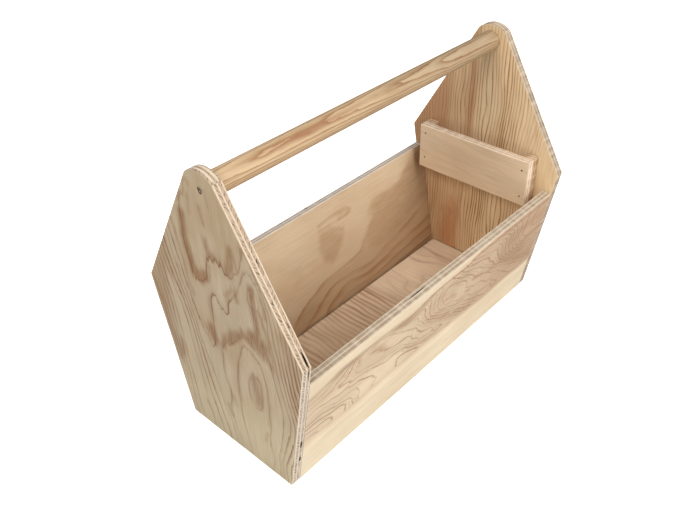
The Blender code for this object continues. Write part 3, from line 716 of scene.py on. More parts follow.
screw_l, screw_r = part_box("handle_screw_left"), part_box("handle_screw_right")
AX = (np.array(screw_l[0]) + np.array(screw_l[1])) / 2

# ---- near (left) end panel: u towards the front side, v up, outer face at -X
PL = Panel("left_end_panel", (0, -1, 0), (0, 0, 1), (1, 0, 0), seed=1)
cut = bmesh.new()
pin_cutters(cut, [n for n in pins if "left" in n])
screw_hole(cut, PL.t0, 1, AX)
bm = apply_cut(PL.slab(), cut)


def rim_point(P, frac_v, side, t):
    """A point on the long slanted rims: height v on the front (+1) or back (-1) rim."""
    h = P.poly
    best = None
    for a, b in zip(h, np.roll(h, -1, 0)):
        if (a[1] - frac_v) * (b[1] - frac_v) <= 0 and abs(a[1] - b[1]) > 1e-6:
            w = (frac_v - a[1]) / (b[1] - a[1])
            p = a + (b - a) * w
            if best is None or p[0] * side > best[0][0] * side:
                best = (p, (b - a) / np.linalg.norm(b - a))
    (u, v), d = best
    return P.world(u, v, t), d


def rim_void(bm, P, v, side, t, length, width, depth, seed):
    c, d = rim_point(P, v, side, t)
    along = Vector(P.eu * d[0] + P.ev * d[1])
    thick = Vector(P.et)
    into = thick.cross(along)
    blob(bm, c, (along, thick, into), (length / 2, width / 2, depth), seed)


voids = bmesh.new()
rim_void(voids, PL, 0.2610, 1, 0.0110, 0.024, 0.0030, 0.0070, 1)
bm = apply_cut(bm, voids)
voids = bmesh.new()
rim_void(voids, PL, 0.2400, 1, 0.0112, 0.020, 0.0023, 0.0060, 2)
bm = apply_cut(bm, voids)
voids = bmesh.new()
for v, t, ln, w, sd in ((0.0910, 0.0110, 0.0180, 0.0040, 3), (0.0560, 0.0110, 0.0120, 0.0042, 4), (0.0480, 0.0048, 0.005, 0.0022, 5),
                        (0.0290, 0.0046, 0.005, 0.0020, 6), (0.1330, 0.0046, 0.005, 0.0013, 7), (0.226, 0.0044, 0.006, 0.0016, 8),
                        (0.330, 0.0047, 0.007, 0.0012, 9), (0.375, 0.0103, 0.008, 0.0012, 10), (0.302, 0.0107, 0.009, 0.0013, 11)):
    rim_void(voids, PL, v, 1, t, ln, w, 0.0032, sd)
for v, t, ln, w, sd in ((0.190, 0.0043, 0.009, 0.0018, 12), (0.100, 0.0107, 0.006, 0.0015, 13), (0.345, 0.0045, 0.008, 0.0016, 14)):
    rim_void(voids, PL, v, -1, t, ln, w, 0.0032, sd)
bm = apply_cut(bm, voids)
PL.grid(bm, 0.004, 0.0045)

ring_lines = {
    6: [[(300, 90), (272, 150), (262, 240), (262, 350), (270, 430), (292, 446), (330, 442), (352, 420), (362, 380), (376, 340), (400, 315),
         (420, 308), (440, 335), (458, 356), (490, 346), (515, 322), (535, 290), (548, 250), (552, 205)],
        [(602, 300), (628, 370), (648, 450), (656, 530), (668, 600), (682, 700), (702, 800), (716, 880), (690, 1000), (650, 1130)]],
    6.45: [[(330, 220), (400, 130), (470, 190), (400, 50), (330, 320)]],
    6.12: [[(395, 268), (486, 295)]],
    5: [[(180, 290), (197, 390), (217, 470), (240, 560), (262, 640), (300, 700), (336, 722), (345, 640), (351, 570), (359, 500), (372, 478),
         (392, 500), (415, 522), (432, 530), (445, 490), (456, 452), (478, 440), (505, 400), (530, 342), (552, 298), (574, 292), (604, 330),
         (622, 385), (632, 450), (640, 560), (655, 660), (676, 770), (694, 860), (668, 1000), (630, 1140)]],
    5.5: [[(305, 560), (415, 435), (240, 380)]],
    4: [[(164, 330), (185, 440), (208, 540), (232, 640), (250, 740), (282, 850), (310, 950), (334, 1050), (362, 1180)],
        [(372, 1010), (385, 930), (368, 870), (366, 800), (374, 735), (385, 695), (402, 676), (440, 654), (470, 626), (490, 600), (507, 582), (525, 602),
         (548, 612), (580, 640), (622, 620), (634, 700), (652, 780), (664, 860), (650, 960), (628, 1060), (618, 1150), (612, 1220)],
        [(372, 1010), (384, 1080), (396, 1150), (404, 1220)]],
    4.5: [[(318, 860), (582, 480)]],
    4.12: [[(560, 540), (590, 575), (440, 612)]],
    3: [[(142, 380), (168, 480), (196, 570), (218, 650), (238, 760), (252, 850), (272, 950), (300, 1060), (330, 1180)],
        [(440, 1060), (436, 940), (440, 860), (447, 780), (462, 720), (480, 680), (500, 628), (530, 640), (566, 668), (588, 740), (595, 810), (588, 900),
         (580, 1000), (570, 1100), (566, 1220)], [(440, 1060), (452, 1130), (460, 1220)]],
    2.6: [[(508, 1010), (510, 1100), (512, 1220)]],
    2: [[(125, 410), (150, 500), (182, 590), (205, 680), (220, 780), (230, 880), (246, 980), (268, 1080), (290, 1180)],
        [(502, 830), (510, 770), (536, 752), (560, 780), (562, 850), (548, 905), (522, 912), (505, 880)]],
    1: [[(108, 440), (130, 520), (165, 620), (185, 720), (196, 820), (206, 920), (215, 1020), (230, 1140)]],
    0: [[(92, 470), (104, 560), (122, 640), (128, 720), (135, 800), (140, 900), (150, 1000), (160, 1140)]],
    -1: [[(74, 490), (88, 580), (102, 660), (108, 760), (114, 850), (120, 930), (128, 1040)]],
    -2: [[(56, 510), (70, 600), (82, 690), (92, 780), (100, 880), (106, 960)]],
    -3: [[(36, 540), (52, 620), (66, 710), (76, 800), (86, 890)]],
    -4: [[(16, 570), (34, 650), (48, 740), (58, 810)]],
    7: [[(648, 370), (668, 450), (676, 540), (686, 620), (702, 720), (722, 800), (732, 850)], [(735, 900), (718, 1000), (680, 1110)]],
    8: [[(678, 410), (690, 480), (696, 560), (706, 640), (722, 730), (742, 800)]],
    9: [[(702, 440), (712, 520), (718, 590), (728, 670), (746, 750)]],
    10: [[(726, 470), (734, 550), (742, 620), (754, 690)]],
    11: [[(745, 500), (752, 570), (762, 640)]],
    12: [[(764, 540), (770, 590)]],
}
H = PL.v1 * MM
near_field = tps(lines(ring_lines, lambda a, b: a / 2.6 - 150, lambda a, b: H - b / 2.6), squash=0.5)
near_marks = [
    ([(268, 200), (262, 290), (275, 360), (285, 420), (320, 430), (345, 412)], 17, 0.95), ([(372, 255), (385, 300), (400, 310)], 14, 0.62),
    ([(495, 245), (485, 290), (470, 335)], 17, 0.78), ([(508, 250), (520, 300)], 10, 0.5), ([(574, 350), (572, 450), (580, 520), (575, 590)], 13, 0.85),
    ([(548, 562), (598, 570)], 21, 0.82), ([(330, 650), (338, 692)], 17, 0.85), ([(292, 650), (312, 680)], 9, 0.55), ([(415, 640), (440, 612), (470, 596)], 12, 0.65),
    ([(490, 400), (498, 440)], 9, 0.6), ([(615, 360), (628, 440)], 9, 0.55), ([(532, 770), (540, 880)], 20, 0.62), ([(395, 945), (402, 975)], 13, 0.5),
    ([(355, 1020), (366, 1060)], 12, 0.5), ([(565, 1020), (552, 1065)], 9, 0.48), ([(118, 830), (112, 905)], 12, 0.6), ([(150, 505), (190, 590)], 8, 0.5),
    ([(320, 110), (316, 175)], 7, 0.5), ([(370, 130), (380, 190)], 8, 0.52), ([(412, 62), (418, 120)], 7, 0.45), ([(262, 150), (275, 110)], 9, 0.6),
    ([(20, 590), (45, 700), (70, 820), (95, 930)], 18, 0.5), ([(705, 480), (735, 640), (740, 760)], 22, 0.5), ([(245, 470), (262, 530)], 9, 0.5),
    ([(310, 35), (335, 60)], 10, 0.5), ([(215, 1090), (240, 1160)], 10, 0.42), ([(375, 355), (372, 400)], 7, 0.5),
    ([(382, 700), (400, 662), (440, 640), (472, 606), (500, 578)], 13, 0.72), ([(498, 572), (545, 590), (600, 606), (628, 640)], 15, 0.66),
    ([(602, 430), (628, 520), (640, 610)], 8, 0.55), ([(492, 345), (470, 410), (436, 445)], 8, 0.5), ([(372, 740), (368, 830), (384, 930), (376, 1010)], 7, 0.5),
    ([(458, 730), (440, 830), (437, 940)], 7, 0.45), ([(590, 740), (596, 850), (584, 960)], 8, 0.48), ([(120, 420), (150, 500), (190, 590)], 8, 0.45),
    ([(205, 240), (232, 400), (255, 540)], 10, 0.5), ([(22, 580), (48, 700), (62, 830)], 10, 0.55), ([(345, 500), (342, 600)], 6, 0.45)]


def near_outer(u, v):
    F = near_field(u, v)
    a, b = (u + 150) * 2.6, (H - v) * 2.6
    A = 0.76 + 0.40 * gauss(a, b, 400, 480, 240, 300) - 0.46 * gauss(a, b, 520, 880, 100, 230) - 0.75 * gauss(a, b, 592, 385, 42, 75) + 0.40 * gauss(a, b, 60, 720, 90, 260) \
        + 0.40 * gauss(a, b, 720, 640, 110, 300) + 0.25 * gauss(a, b, 200, 560, 60, 250) - 0.22 * smooth(b, 950, 1180) + 0.30 * gauss(a, b, 215, 380, 60, 160)
    tint = -1.3 * smooth(b, 800, 1080) - 0.34 * smooth(a, 590, 680) + 0.22 * gauss(a, b, 60, 760, 60, 200) + 0.12 * gauss(a, b, 720, 620, 60, 200)
    return dict(ring=F, amp=A, tint=tint, patch=strokes(a, b, [(q, w * 1.35, min(0.9, h)) for q, w, h in near_marks], 1.5), halo=2.4 + 4.2 * gauss(a, b, 400, 420, 170, 220))


# painted shade: gain darkens this whole panel as a shaded copy of the plywood, and the edge gain lifts its rims back up
# as lit ones
left = finish_mesh("left_end_panel_wood", bm, plywood("plywood_left_end", PL, 11, early_a=lin(224, 203, 170), early_b=lin(208, 182, 145), late=lin(150, 102, 60), red=lin(158, 98, 56), gain=(0.702, 0.703, 0.708),
                                                               patch_colour=lin(164, 116, 72), patch_mix=0.80, core_width=2.4, core_mix=0.54, lead=1.4, soft=0.38, pale_below=249.0, edge_lit_gain=(1.13, 1.13, 1.13), fuzz=1.25,
                                                               edge_light=lin(236, 217, 190), edge_dark=lin(180, 148, 120), tick_mix=0.92),
                   node="left_end_panel")
PL.attributes(left, near_outer, generic(31, spacing=10, peak=15, lam=90))

# ---- far (right) end panel: outer face at +X; u towards the front side
PR = Panel("right_end_panel", (0, -1, 0), (0, 0, 1), (-1, 0, 0), seed=2)
cut = bmesh.new()
pin_cutters(cut, [n for n in pins if "right" in n])
x_out = float(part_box("right_end_panel")[1][0])
screw_hole(cut, x_out, -1, AX)
nail_holes(cut, x_out - PR.T - 0.003, float(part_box("rack_nail_1")[1][0]) + 0.0006)
bm = apply_cut(PR.slab(), cut)
voids = bmesh.new()
for v, side, t, ln, w, sd in ((0.376, 1, 0.0046, 0.009, 0.0018, 21), (0.300, 1, 0.0107, 0.007, 0.0015, 22), (0.205, 1, 0.0044, 0.010, 0.0017, 23),
                              (0.140, -1, 0.0108, 0.012, 0.0022, 24), (0.320, -1, 0.0044, 0.008, 0.0016, 25)):
    rim_void(voids, PR, v, side, t, ln, w, 0.0032, sd)
bm = apply_cut(bm, voids)
PR.grid(bm, 0.006, 0.008)


def far_inner(u, v):
    a = (u + 150) * 2.6
    b = (H - v) * 2.6
    F = a / 16.0 + 1.7 * perlin(u, v, 42, 150, 4.2) + 0.6 * perlin(u, v, 15, 60, 8.1) \
        + 2.2 * gauss(a, b, 700, 560, 130, 160) - 1.6 * gauss(a, b, 470, 330, 70, 150)
    A = 0.78 + 0.62 * gauss(a, b, 460, 420, 140, 400) + 0.34 * smooth(b, 760, 900) - 0.45 * gauss(a, 0 * a, 238, 0, 55, 1) * smooth(b, 770, 860) - 0.55 * smooth(a, 560, 690) * (1 - smooth(b, 700, 850))
    # painted shade below the rack: a darker, redder zone with weaker figure, sharp-edged at its front side and fading
    # towards the back
    below_rack_shade = smooth(a + 10 * perlin(v, 0 * u, 60, 1, 5.0), 96, 262) * (1 - smooth(a, 291, 302)) * smooth(b, 750, 900)
    A = A * (1 - 0.62 * below_rack_shade) + 0.18 * smooth(a, 300, 312) * (1 - smooth(a, 560, 620)) * smooth(b, 770, 860)
    tint = (0.62 * gauss(a, 0 * a, 312, 0, 32, 1) * (1 - smooth(a, 342, 353)) + 0.34 * gauss(a, 0 * a, 262, 0, 14, 1)) * (0.8 + 0.9 * perlin(u, v, 7, 90, 2.0)) * (1 - 0.8 * smooth(b, 780, 860)) \
        + 0.74 * smooth(-a, -290, -150) * (1 - 0.6 * smooth(b, 760, 860)) + 0.12 * smooth(b, 760, 900) - 0.30 * gauss(a, b, 395, 330, 45, 300) \
        - 0.12 * gauss(a, b, 640, 500, 90, 220) + (0.30 + 0.36 * perlin(u, v, 5, 80, 6.0)) * below_rack_shade - 0.10 * smooth(a, 300, 312) * smooth(b, 770, 860)
    patch = strokes(a, b, [([(322, 190), (318, 330), (312, 500)], 13, 0.7), ([(270, 300), (285, 420)], 9, 0.45),
                           ([(262, 800), (262, 950), (255, 1150)], 30, 0.32), ([(640, 340), (655, 430)], 14, 0.5),
                           ([(560, 80), (600, 200)], 10, 0.3), ([(705, 560), (720, 640)], 12, 0.4), ([(610, 420), (632, 500), (640, 560)], 14, 0.42), ([(672, 470), (700, 540)], 9, 0.4), ([(215, 810), (205, 1150)], 10, 0.4)], 2.0)
    patch = np.maximum(patch, 0.95 * below_rack_shade * smooth(b, 780, 1000) * (0.75 + 0.5 * perlin(u, v, 9, 70, 3.0)))
    return dict(ring=F, amp=A, tint=tint, patch=patch, halo=2.2 + 0 * u)


right = finish_mesh("right_end_panel_wood", bm, plywood("plywood_right_end", PR, 23, early_a=lin(228, 200, 158), early_b=lin(220, 189, 146), late=lin(144, 98, 52), red=lin(158, 102, 62), gain=(1.07, 1.085, 1.12), jag=0.9,
                                                                patch_colour=lin(178, 112, 66), patch_mix=0.6, core_width=1.9, core_mix=0.50, fade_mix=0.46, tick_mix=0.3,
                                                                edge_light=lin(179, 159, 135), edge_dark=lin(117, 101, 87)),
                    node="right_end_panel")
PR.attributes(right, generic(47, spacing=9, peak=-22, lam=70, amp=0.85), far_inner)

# ---- side panels: u up along the face, v along the length
d, inn = lean_axes("front_side_panel")
PF = Panel("front_side_panel", d, (1, 0, 0), inn, seed=3, rect=True)
cut = bmesh.new()
pin_cutters(cut, [n for n in pins if "front" in n and not n.startswith(("bottom_pin_left", "bottom_pin_right"))])
bm = apply_cut(PF.slab(), cut)
voids = bmesh.new()
c = PF.world(PF.u1, -0.066, 0.0098)
blob(voids, c, (Vector(PF.ev), Vector(PF.et), Vector(PF.eu)), (0.019, 0.0011, 0.004), 31)
c = PF.world(PF.u1, PF.v0 + 0.004, 0.0045)
blob(voids, c, (Vector(PF.ev), Vector(PF.et), Vector(PF.eu)), (0.007, 0.0008, 0.0016), 32)
bm = apply_cut(bm, voids)
PF.grid(bm, 0.004, 0.004)
TOPF = PF.u1 * MM


front_rings = {
    0: [[(0, 88), (50, 82), (100, 72), (150, 64), (200, 58), (250, 52), (310, 48), (370, 46), (420, 50), (460, 62), (500, 70), (550, 72), (610, 62), (670, 50),
         (720, 47), (738, 62), (726, 120), (731, 160), (752, 190), (830, 226), (930, 268), (1050, 325), (1120, 358)],
        [(862, 90), (920, 112), (960, 142), (1000, 172), (1050, 190), (1100, 214), (1160, 247), (1210, 284), (1260, 320), (1330, 358)]],
    1: [[(0, 112), (50, 114), (90, 108), (110, 92), (135, 82), (170, 70), (210, 64), (250, 57), (310, 51), (370, 50), (430, 57), (500, 77), (560, 79), (620, 70),
         (675, 60), (700, 76), (697, 110), (702, 150), (716, 180), (750, 207), (830, 246), (930, 290), (1040, 345)],
        [(880, 70), (950, 98), (1000, 124), (1050, 158), (1100, 188), (1180, 228), (1250, 264), (1320, 300), (1400, 338)]],
    2: [[(0, 140), (60, 142), (110, 138), (130, 122), (150, 108), (175, 97), (205, 76), (245, 62), (300, 54), (370, 53), (450, 68), (500, 84), (560, 88), (615, 78),
         (655, 72), (670, 100), (674, 135), (690, 170), (730, 207), (800, 246), (900, 292), (1000, 345)],
        [(900, 52), (960, 74), (1020, 88), (1058, 104), (1080, 132), (1110, 162), (1130, 187), (1170, 210), (1240, 242), (1310, 276), (1400, 316), (1490, 352)]],
    3: [[(0, 180), (80, 177), (120, 182), (160, 192), (220, 202), (270, 212), (310, 230), (345, 247), (365, 258), (372, 290), (362, 330), (385, 348), (440, 353)],
        [(400, 230), (440, 246), (480, 243), (520, 251), (550, 264), (600, 291), (660, 320), (720, 344)],
        [(350, 210), (300, 199), (245, 187), (215, 173), (185, 159), (160, 148), (190, 131), (205, 118), (214, 98), (228, 78), (260, 66), (320, 57), (400, 62),
         (450, 76), (500, 92), (550, 101), (600, 98), (632, 96), (643, 120), (647, 150), (666, 180), (710, 215), (770, 250), (850, 290), (950, 345)],
        [(935, 38), (1000, 60), (1060, 78), (1100, 88), (1127, 105), (1140, 135), (1160, 160), (1187, 196), (1230, 223), (1300, 258), (1400, 300), (1500, 340)]],
    4: [[(0, 210), (60, 208), (110, 212), (140, 230), (165, 240), (230, 245), (265, 255), (285, 275), (292, 300), (285, 330), (300, 354)],
        [(760, 342), (700, 320), (640, 294), (590, 269), (560, 250), (540, 233), (500, 222), (450, 216), (410, 206), (370, 191), (330, 181), (290, 171), (258, 160),
         (238, 145), (238, 125), (252, 95), (278, 70), (320, 61), (370, 58), (420, 67), (460, 82), (500, 99), (550, 113), (592, 126), (606, 148), (640, 174),
         (690, 220), (750, 255), (820, 290), (900, 330), (960, 362)],
        [(980, 22), (1050, 46), (1110, 62), (1150, 86), (1166, 115), (1180, 146), (1200, 186), (1240, 213), (1300, 243), (1390, 280), (1500, 320)]],
    5: [[(0, 232), (60, 228), (90, 232), (130, 250), (165, 262), (210, 276), (240, 290), (255, 310), (262, 340), (275, 356)],
        [(830, 352), (760, 326), (700, 304), (640, 280), (600, 252), (583, 235), (576, 211), (555, 196), (500, 190), (455, 183), (425, 168), (400, 152), (370, 132),
         (340, 112), (305, 90), (330, 74), (355, 66), (400, 77), (440, 93), (470, 112), (500, 133), (540, 149), (575, 167), (606, 190), (621, 215), (642, 236),
         (680, 258), (740, 290), (800, 318), (870, 350)],
        [(1045, 26), (1120, 43), (1170, 66), (1191, 100), (1201, 140), (1222, 185), (1270, 221), (1330, 246), (1420, 281), (1508, 306)]],
    5.6: [[(350, 90), (390, 112), (450, 142), (520, 168), (582, 196), (603, 225)]],
    2.7: [[(440, 302), (250, 199), (60, 160)]],
    3.5: [[(328, 300)]],
    6: [[(0, 255), (60, 255), (100, 262), (140, 275), (190, 286), (212, 300), (218, 325), (225, 354)],
        [(1110, 24), (1180, 43), (1215, 76), (1221, 120), (1236, 160), (1260, 195), (1310, 223), (1400, 256), (1508, 290)]],
    7: [[(0, 282), (60, 285), (110, 295), (145, 310), (141, 335), (122, 345), (150, 360)],
        [(1175, 24), (1235, 60), (1246, 110), (1259, 150), (1286, 190), (1340, 216), (1430, 246), (1508, 270)]],
    8: [[(0, 312), (50, 320), (80, 335), (100, 352)], [(1230, 26), (1265, 70), (1273, 120), (1291, 160), (1321, 190), (1400, 221), (1508, 248)]],
    9: [[(0, 340), (40, 350)], [(1280, 30), (1300, 80), (1301, 130), (1321, 165), (1370, 191), (1440, 206), (1508, 226)]],
    10: [[(1340, 34), (1336, 90), (1341, 140), (1381, 174), (1440, 178), (1508, 184)]],
    11: [[(1415, 50), (1400, 100), (1422, 130), (1508, 140)]],
    -1: [[(905, 132), (926, 175), (950, 205), (1010, 229), (1080, 256), (1150, 291), (1220, 332)],
         [(772, 90), (757, 125), (770, 160), (800, 192), (865, 215), (960, 252), (1080, 300), (1180, 352)]],
    -1.7: [[(800, 130), (850, 180), (930, 228), (1040, 262)]],
}
front_field = tps(lines(front_rings, lambda a, b: TOPF - b / 2.6, lambda a, b: PF.v0 * MM + a / 2.6), squash=0.62)


def front_outer(u, v):
    a = TOPF - u                # down from the top edge
    b = v - PF.v0 * MM          # from the left end
    F = front_field(u, v) + 0.16 * perlin(b, a, 26, 10, 1.3)
    edge = 138 + 10 * smooth(b, 250, 420) + 4 * perlin(b, 0 * a, 60, 1, 8.8)
    lower = smooth(a, edge - 5, edge + 9)
    F = F * (1 - lower) + lower * (a / 20.0 + 12 + 0.7 * perlin(b, a, 120, 20, 3.3))
    top = 31 - 10 * smooth(b, 0, 70) - 6 * smooth(b, 220, 280) - 8 * smooth(b, 335, 380) + 6 * gauss(b, 0 * a, 205, 0, 30, 1)
    A = (0.90 + 0.30 * perlin(b, a, 60, 30, 9.1) - 0.12 * gauss(b, a, 140, 118, 70, 24) + 0.22 * smooth(b, 330, 480)) * smooth(a, top - 5, top) * (1 - smooth(a, edge - 12, edge - 4)) \
        + 0.18 * smooth(a, edge + 10, edge + 18) + 0.02
    tint = -0.40 * smooth(-a, -top - 1, -top + 4) * (1 - smooth(b, 300, 480)) - 0.50 * lower * (1 - 0.6 * smooth(b, 330, 570)) + 0.10 * smooth(a, 18, 30) * (1 - lower) \
        + 0.16 * smooth(b, 180, 300) * (1 - lower) + 0.40 * smooth(b, 330, 520) * (1 - lower) + 0.16 * (1 - lower) - 0.20 * gauss(b, a, 145, 112, 90, 24)
    patch = strokes(b, a, [([(128, 36), (150, 50)], 13, 0.50), ([(152, 52), (160, 62)], 7, 0.55), ([(98, 32), (102, 48)], 6, 0.5), ([(290, 45), (318, 60)], 22, 0.40), ([(318, 66), (328, 70)], 8, 0.6),
                           ([(300, 60), (306, 66)], 6, 0.5), ([(362, 84), (372, 88)], 8, 0.55), ([(375, 64), (402, 71)], 6, 0.62), ([(532, 68), (580, 69)], 6, 0.62),
                           ([(500, 30), (575, 34)], 20, 0.45), ([(408, 40), (414, 48)], 5, 0.5)])
    foot = 0.42 * np.exp(-((a - edge + 2.0) / 3.0) ** 2) * (0.5 + 0.9 * perlin(b, 0 * a, 34, 1, 4.4)).clip(0, 1)
    band = np.exp(-((a - top - 2.0) / (2.0 + 1.4 * smooth(b, 230, 360))) ** 2) * (0.40 + 0.60 * smooth(b, 190, 260))
    return dict(ring=F, amp=A, tint=tint, patch=np.maximum(np.maximum(patch, foot), band), halo=3.2 + 0 * u)


front = finish_mesh("front_side_panel_wood", bm, plywood("plywood_front_side", PF, 37, early_a=lin(228, 202, 167), early_b=lin(220, 192, 156), late=lin(138, 98, 64), red=lin(170, 128, 92),
                                                                gain=(0.872, 0.94, 1.03), jag=0.5, patch_colour=lin(164, 106, 66), patch_mix=0.62,
                                                                core_width=2.3, core_mix=0.66, fade_mix=0.40, lead=1.5, second=0.62, edge_light=lin(209, 185, 155), edge_dark=lin(156, 128, 102), tick_mix=0.10, even=0.70),
                    node="front_side_panel")
PF.attributes(front, front_outer, generic(53, spacing=12, peak=TOPF - 95, lam=120))

d, inn = lean_axes("back_side_panel")
PB = Panel("back_side_panel", d, (1, 0, 0), inn, seed=4, rect=True)
cut = bmesh.new()
pin_cutters(cut, [n for n in pins if "back" in n and not n.startswith(("bottom_pin_left", "bottom_pin_right"))])
bm = apply_cut(PB.slab(), cut)
voids = bmesh.new()
c = PB.world(PB.u1, -0.0078, 0.0032)
blob(voids, c, (Vector(PB.ev), Vector(PB.et), Vector(PB.eu)), (0.0046, 0.0021, 0.0060), 41)
bm = apply_cut(bm, voids)
PB.grid(bm, 0.005, 0.006)
TOPB = PB.u1 * MM
sweep = {1: [[(300, 460), (440, 395), (560, 330), (680, 300), (840, 282), (872, 225), (915, 185), (925, 120), (960, 104), (1090, 95),
              (1118, 60), (1200, 35)]],
         0.5: [[(350, 250), (600, 120), (850, 100), (1000, 40), (400, 60)]],
         0.2: [[(350, 20), (900, 15), (650, 20)]],
         1.5: [[(900, 290), (1000, 200), (1150, 160), (1250, 100)]],
         2: [[(480, 452), (560, 400), (630, 358), (700, 345), (780, 350), (860, 362), (950, 345), (1050, 320), (1150, 290), (1270, 250)]],
         3: [[(590, 452), (680, 398), (760, 380), (850, 395), (950, 385), (1050, 365), (1160, 350), (1270, 325)]],
         4: [[(700, 435), (850, 428), (1000, 412), (1270, 380)]], 5: [[(900, 462), (1270, 430)]]}
back_field = tps(lines(sweep, lambda a, b: TOPB - b / 2.2, lambda a, b: PB.v0 * MM + a / 2.2), squash=0.4)


def back_inner(u, v):
    a, b = (v - PB.v0 * MM) * 2.2, (TOPB - u) * 2.2
    F = back_field(u, v) + 0.10 * perlin(v, u, 60, 14, 6.6)
    A = 0.26 + 0.80 * smooth(b, 230, 350) + 0.10 * perlin(v, u, 70, 30, 1.0)
    tint = 0.03 + 0.20 * smooth(F, 0.9, 1.1) + 0.14 * gauss(a, b, 450, 250, 90, 50) \
        + 0.16 * smooth(b, 330, 470) + 0.10 * smooth(b, 150, 260) - 0.14 * smooth(-b, -120, -10) - 0.10 * gauss(a, b, 1080, 40, 90, 60) + 0.05 * perlin(v, u, 40, 20, 3.0)
    dark = region(a, b, [(1290, -20), (1190, 30), (1122, 58), (1106, 92), (1000, 98), (926, 108), (916, 180), (872, 214), (846, 240), (880, 285), (860, 305),
                         (1000, 330), (1300, 235)], 26)
    spot = region(a, b, [(640, 100), (700, 118), (722, 140), (765, 160), (745, 205), (715, 240), (680, 256), (640, 236), (618, 180), (628, 130)], 22)
    loop = strokes(a, b, [([(640, 80), (700, 71), (792, 73), (812, 86), (790, 100), (742, 98)], 10, 0.85), ([(632, 100), (700, 96)], 8, 0.6),
                          ([(420, 150), (520, 230), (470, 260)], 26, 0.34), ([(850, 250), (900, 240)], 20, 0.5), ([(1000, 262), (1240, 215)], 22, 0.45), ([(400, 150), (470, 162)], 5, 0.4), ([(420, 180), (520, 188)], 5, 0.4), ([(480, 243), (560, 248)], 6, 0.42),
                          ([(690, 115), (760, 150)], 12, 0.65)])
    return dict(ring=F, amp=A, tint=tint, patch=np.maximum(np.maximum(0.62 * dark + 0.16 * perlin(v, u, 30, 14, 4.0) * dark, 0.85 * spot), loop), halo=9.0 + 0 * u)


back = finish_mesh("back_side_panel_wood", bm, plywood("plywood_back_side", PB, 41, early_a=lin(226, 199, 162), early_b=lin(219, 188, 151), late=lin(170, 122, 78), red=lin(190, 138, 90), gain=(0.84, 0.87, 0.92), jag=0.5, fuzz=0.7,
                                                               patch_colour=lin(186, 148, 108), patch_mix=0.60, core_width=7.0, soft=0.34, lead=0.7,
                                                               core_mix=0.36, fade_mix=0.44, streak=0.45, edge_light=lin(230, 216, 198), edge_dark=lin(180, 160, 144), tick_mix=0.10, even=0.6),
                   node="back_side_panel")
PB.attributes(back, generic(61, spacing=13, peak=TOPB - 120, lam=130, amp=0.8), back_inner)

# ---- bottom panel: face grain runs across the box
PO = Panel("bottom_panel", (1, 0, 0), (0, 1, 0), (0, 0, -1), seed=5, rect=True)
cut = bmesh.new()
pin_cutters(cut, [n for n in pins if n.startswith("bottom_pin")])
bm = apply_cut(PO.slab(), cut)
PO.grid(bm, 0.0045, 0.009)


def floor_top(u, v):
    a = u + 290
    F = a / 9.8 + 0.55 * perlin(u, v, 60, 120, 2.5) + 0.45 * perlin(u, v, 22, 36, 5.0)
    wide = smooth(a, 365, 395)
    G = 38.9 + (a - 381) / 27.0 + 0.9 * perlin(u, v, 60, 110, 7.7) + 0.5 * perlin(u, v, 24, 40, 1.7) + 2.2 * gauss(a, v, 416, 22, 22, 60) \
        - 1.6 * gauss(a, v, 500, -30, 26, 90) + 1.3 * gauss(a, v, 560, 40, 26, 80)
    F = F * (1 - wide) + wide * G
    A = 0.98 - 0.50 * wide + 0.2 * perlin(u, v, 60, 60, 4.4)
    tint = 0.12 - 0.10 * wide + 0.14 * gauss(a, 0 * a, 386, 0, 9, 1) + 0.08 * perlin(u, v, 30, 80, 3.9)
    return dict(ring=F, amp=A, tint=tint, patch=0.5 * gauss(a, v, 470, -40, 26, 60) + 0.5 * gauss(a, v, 540, 30, 14, 80), halo=3.0 + 9 * wide)


# partly painted light: gain lifts the bottom board's colour, brighter and less yellow, as a lit copy of the plywood
floor_wood = finish_mesh("bottom_panel_wood", bm, plywood("plywood_bottom", PO, 59, early_a=lin(224, 195, 160), early_b=lin(216, 186, 150), late=lin(140, 98, 66), gain=(1.22, 1.34, 1.52), jag=0.8,
                                                                core_width=4.2, core_mix=0.40, fade_mix=0.42, lead=3.0, seam_shade=0.85),
                         node="bottom_panel")
PO.attributes(floor_wood, floor_top, generic(71, spacing=10, peak=40, lam=80))

# ---- rack board and spacers
PK = Panel("rack_board", (0, 0, 1), (0, -1, 0), (1, 0, 0), seed=6, wear=0.0013, rect=True)
cut = bmesh.new()
nail_holes(cut, PK.t0 - 0.002, PK.t0 + PK.T + 0.002, mouth=0.002 + 0.0022)
bm = apply_cut(PK.slab(step=0.004), cut)
PK.grid(bm, 0.008, 0.012)


def plain(seed, amp=0.16, tint=0.02):
    def fn(u, v):
        F = u / 19.0 + v / 160.0 + 1.0 * perlin(u, v, 30, 120, seed)
        return dict(ring=F, amp=np.full(len(u), amp), tint=tint + 0.07 * perlin(u, v, 25, 50, seed + 2))
    return fn


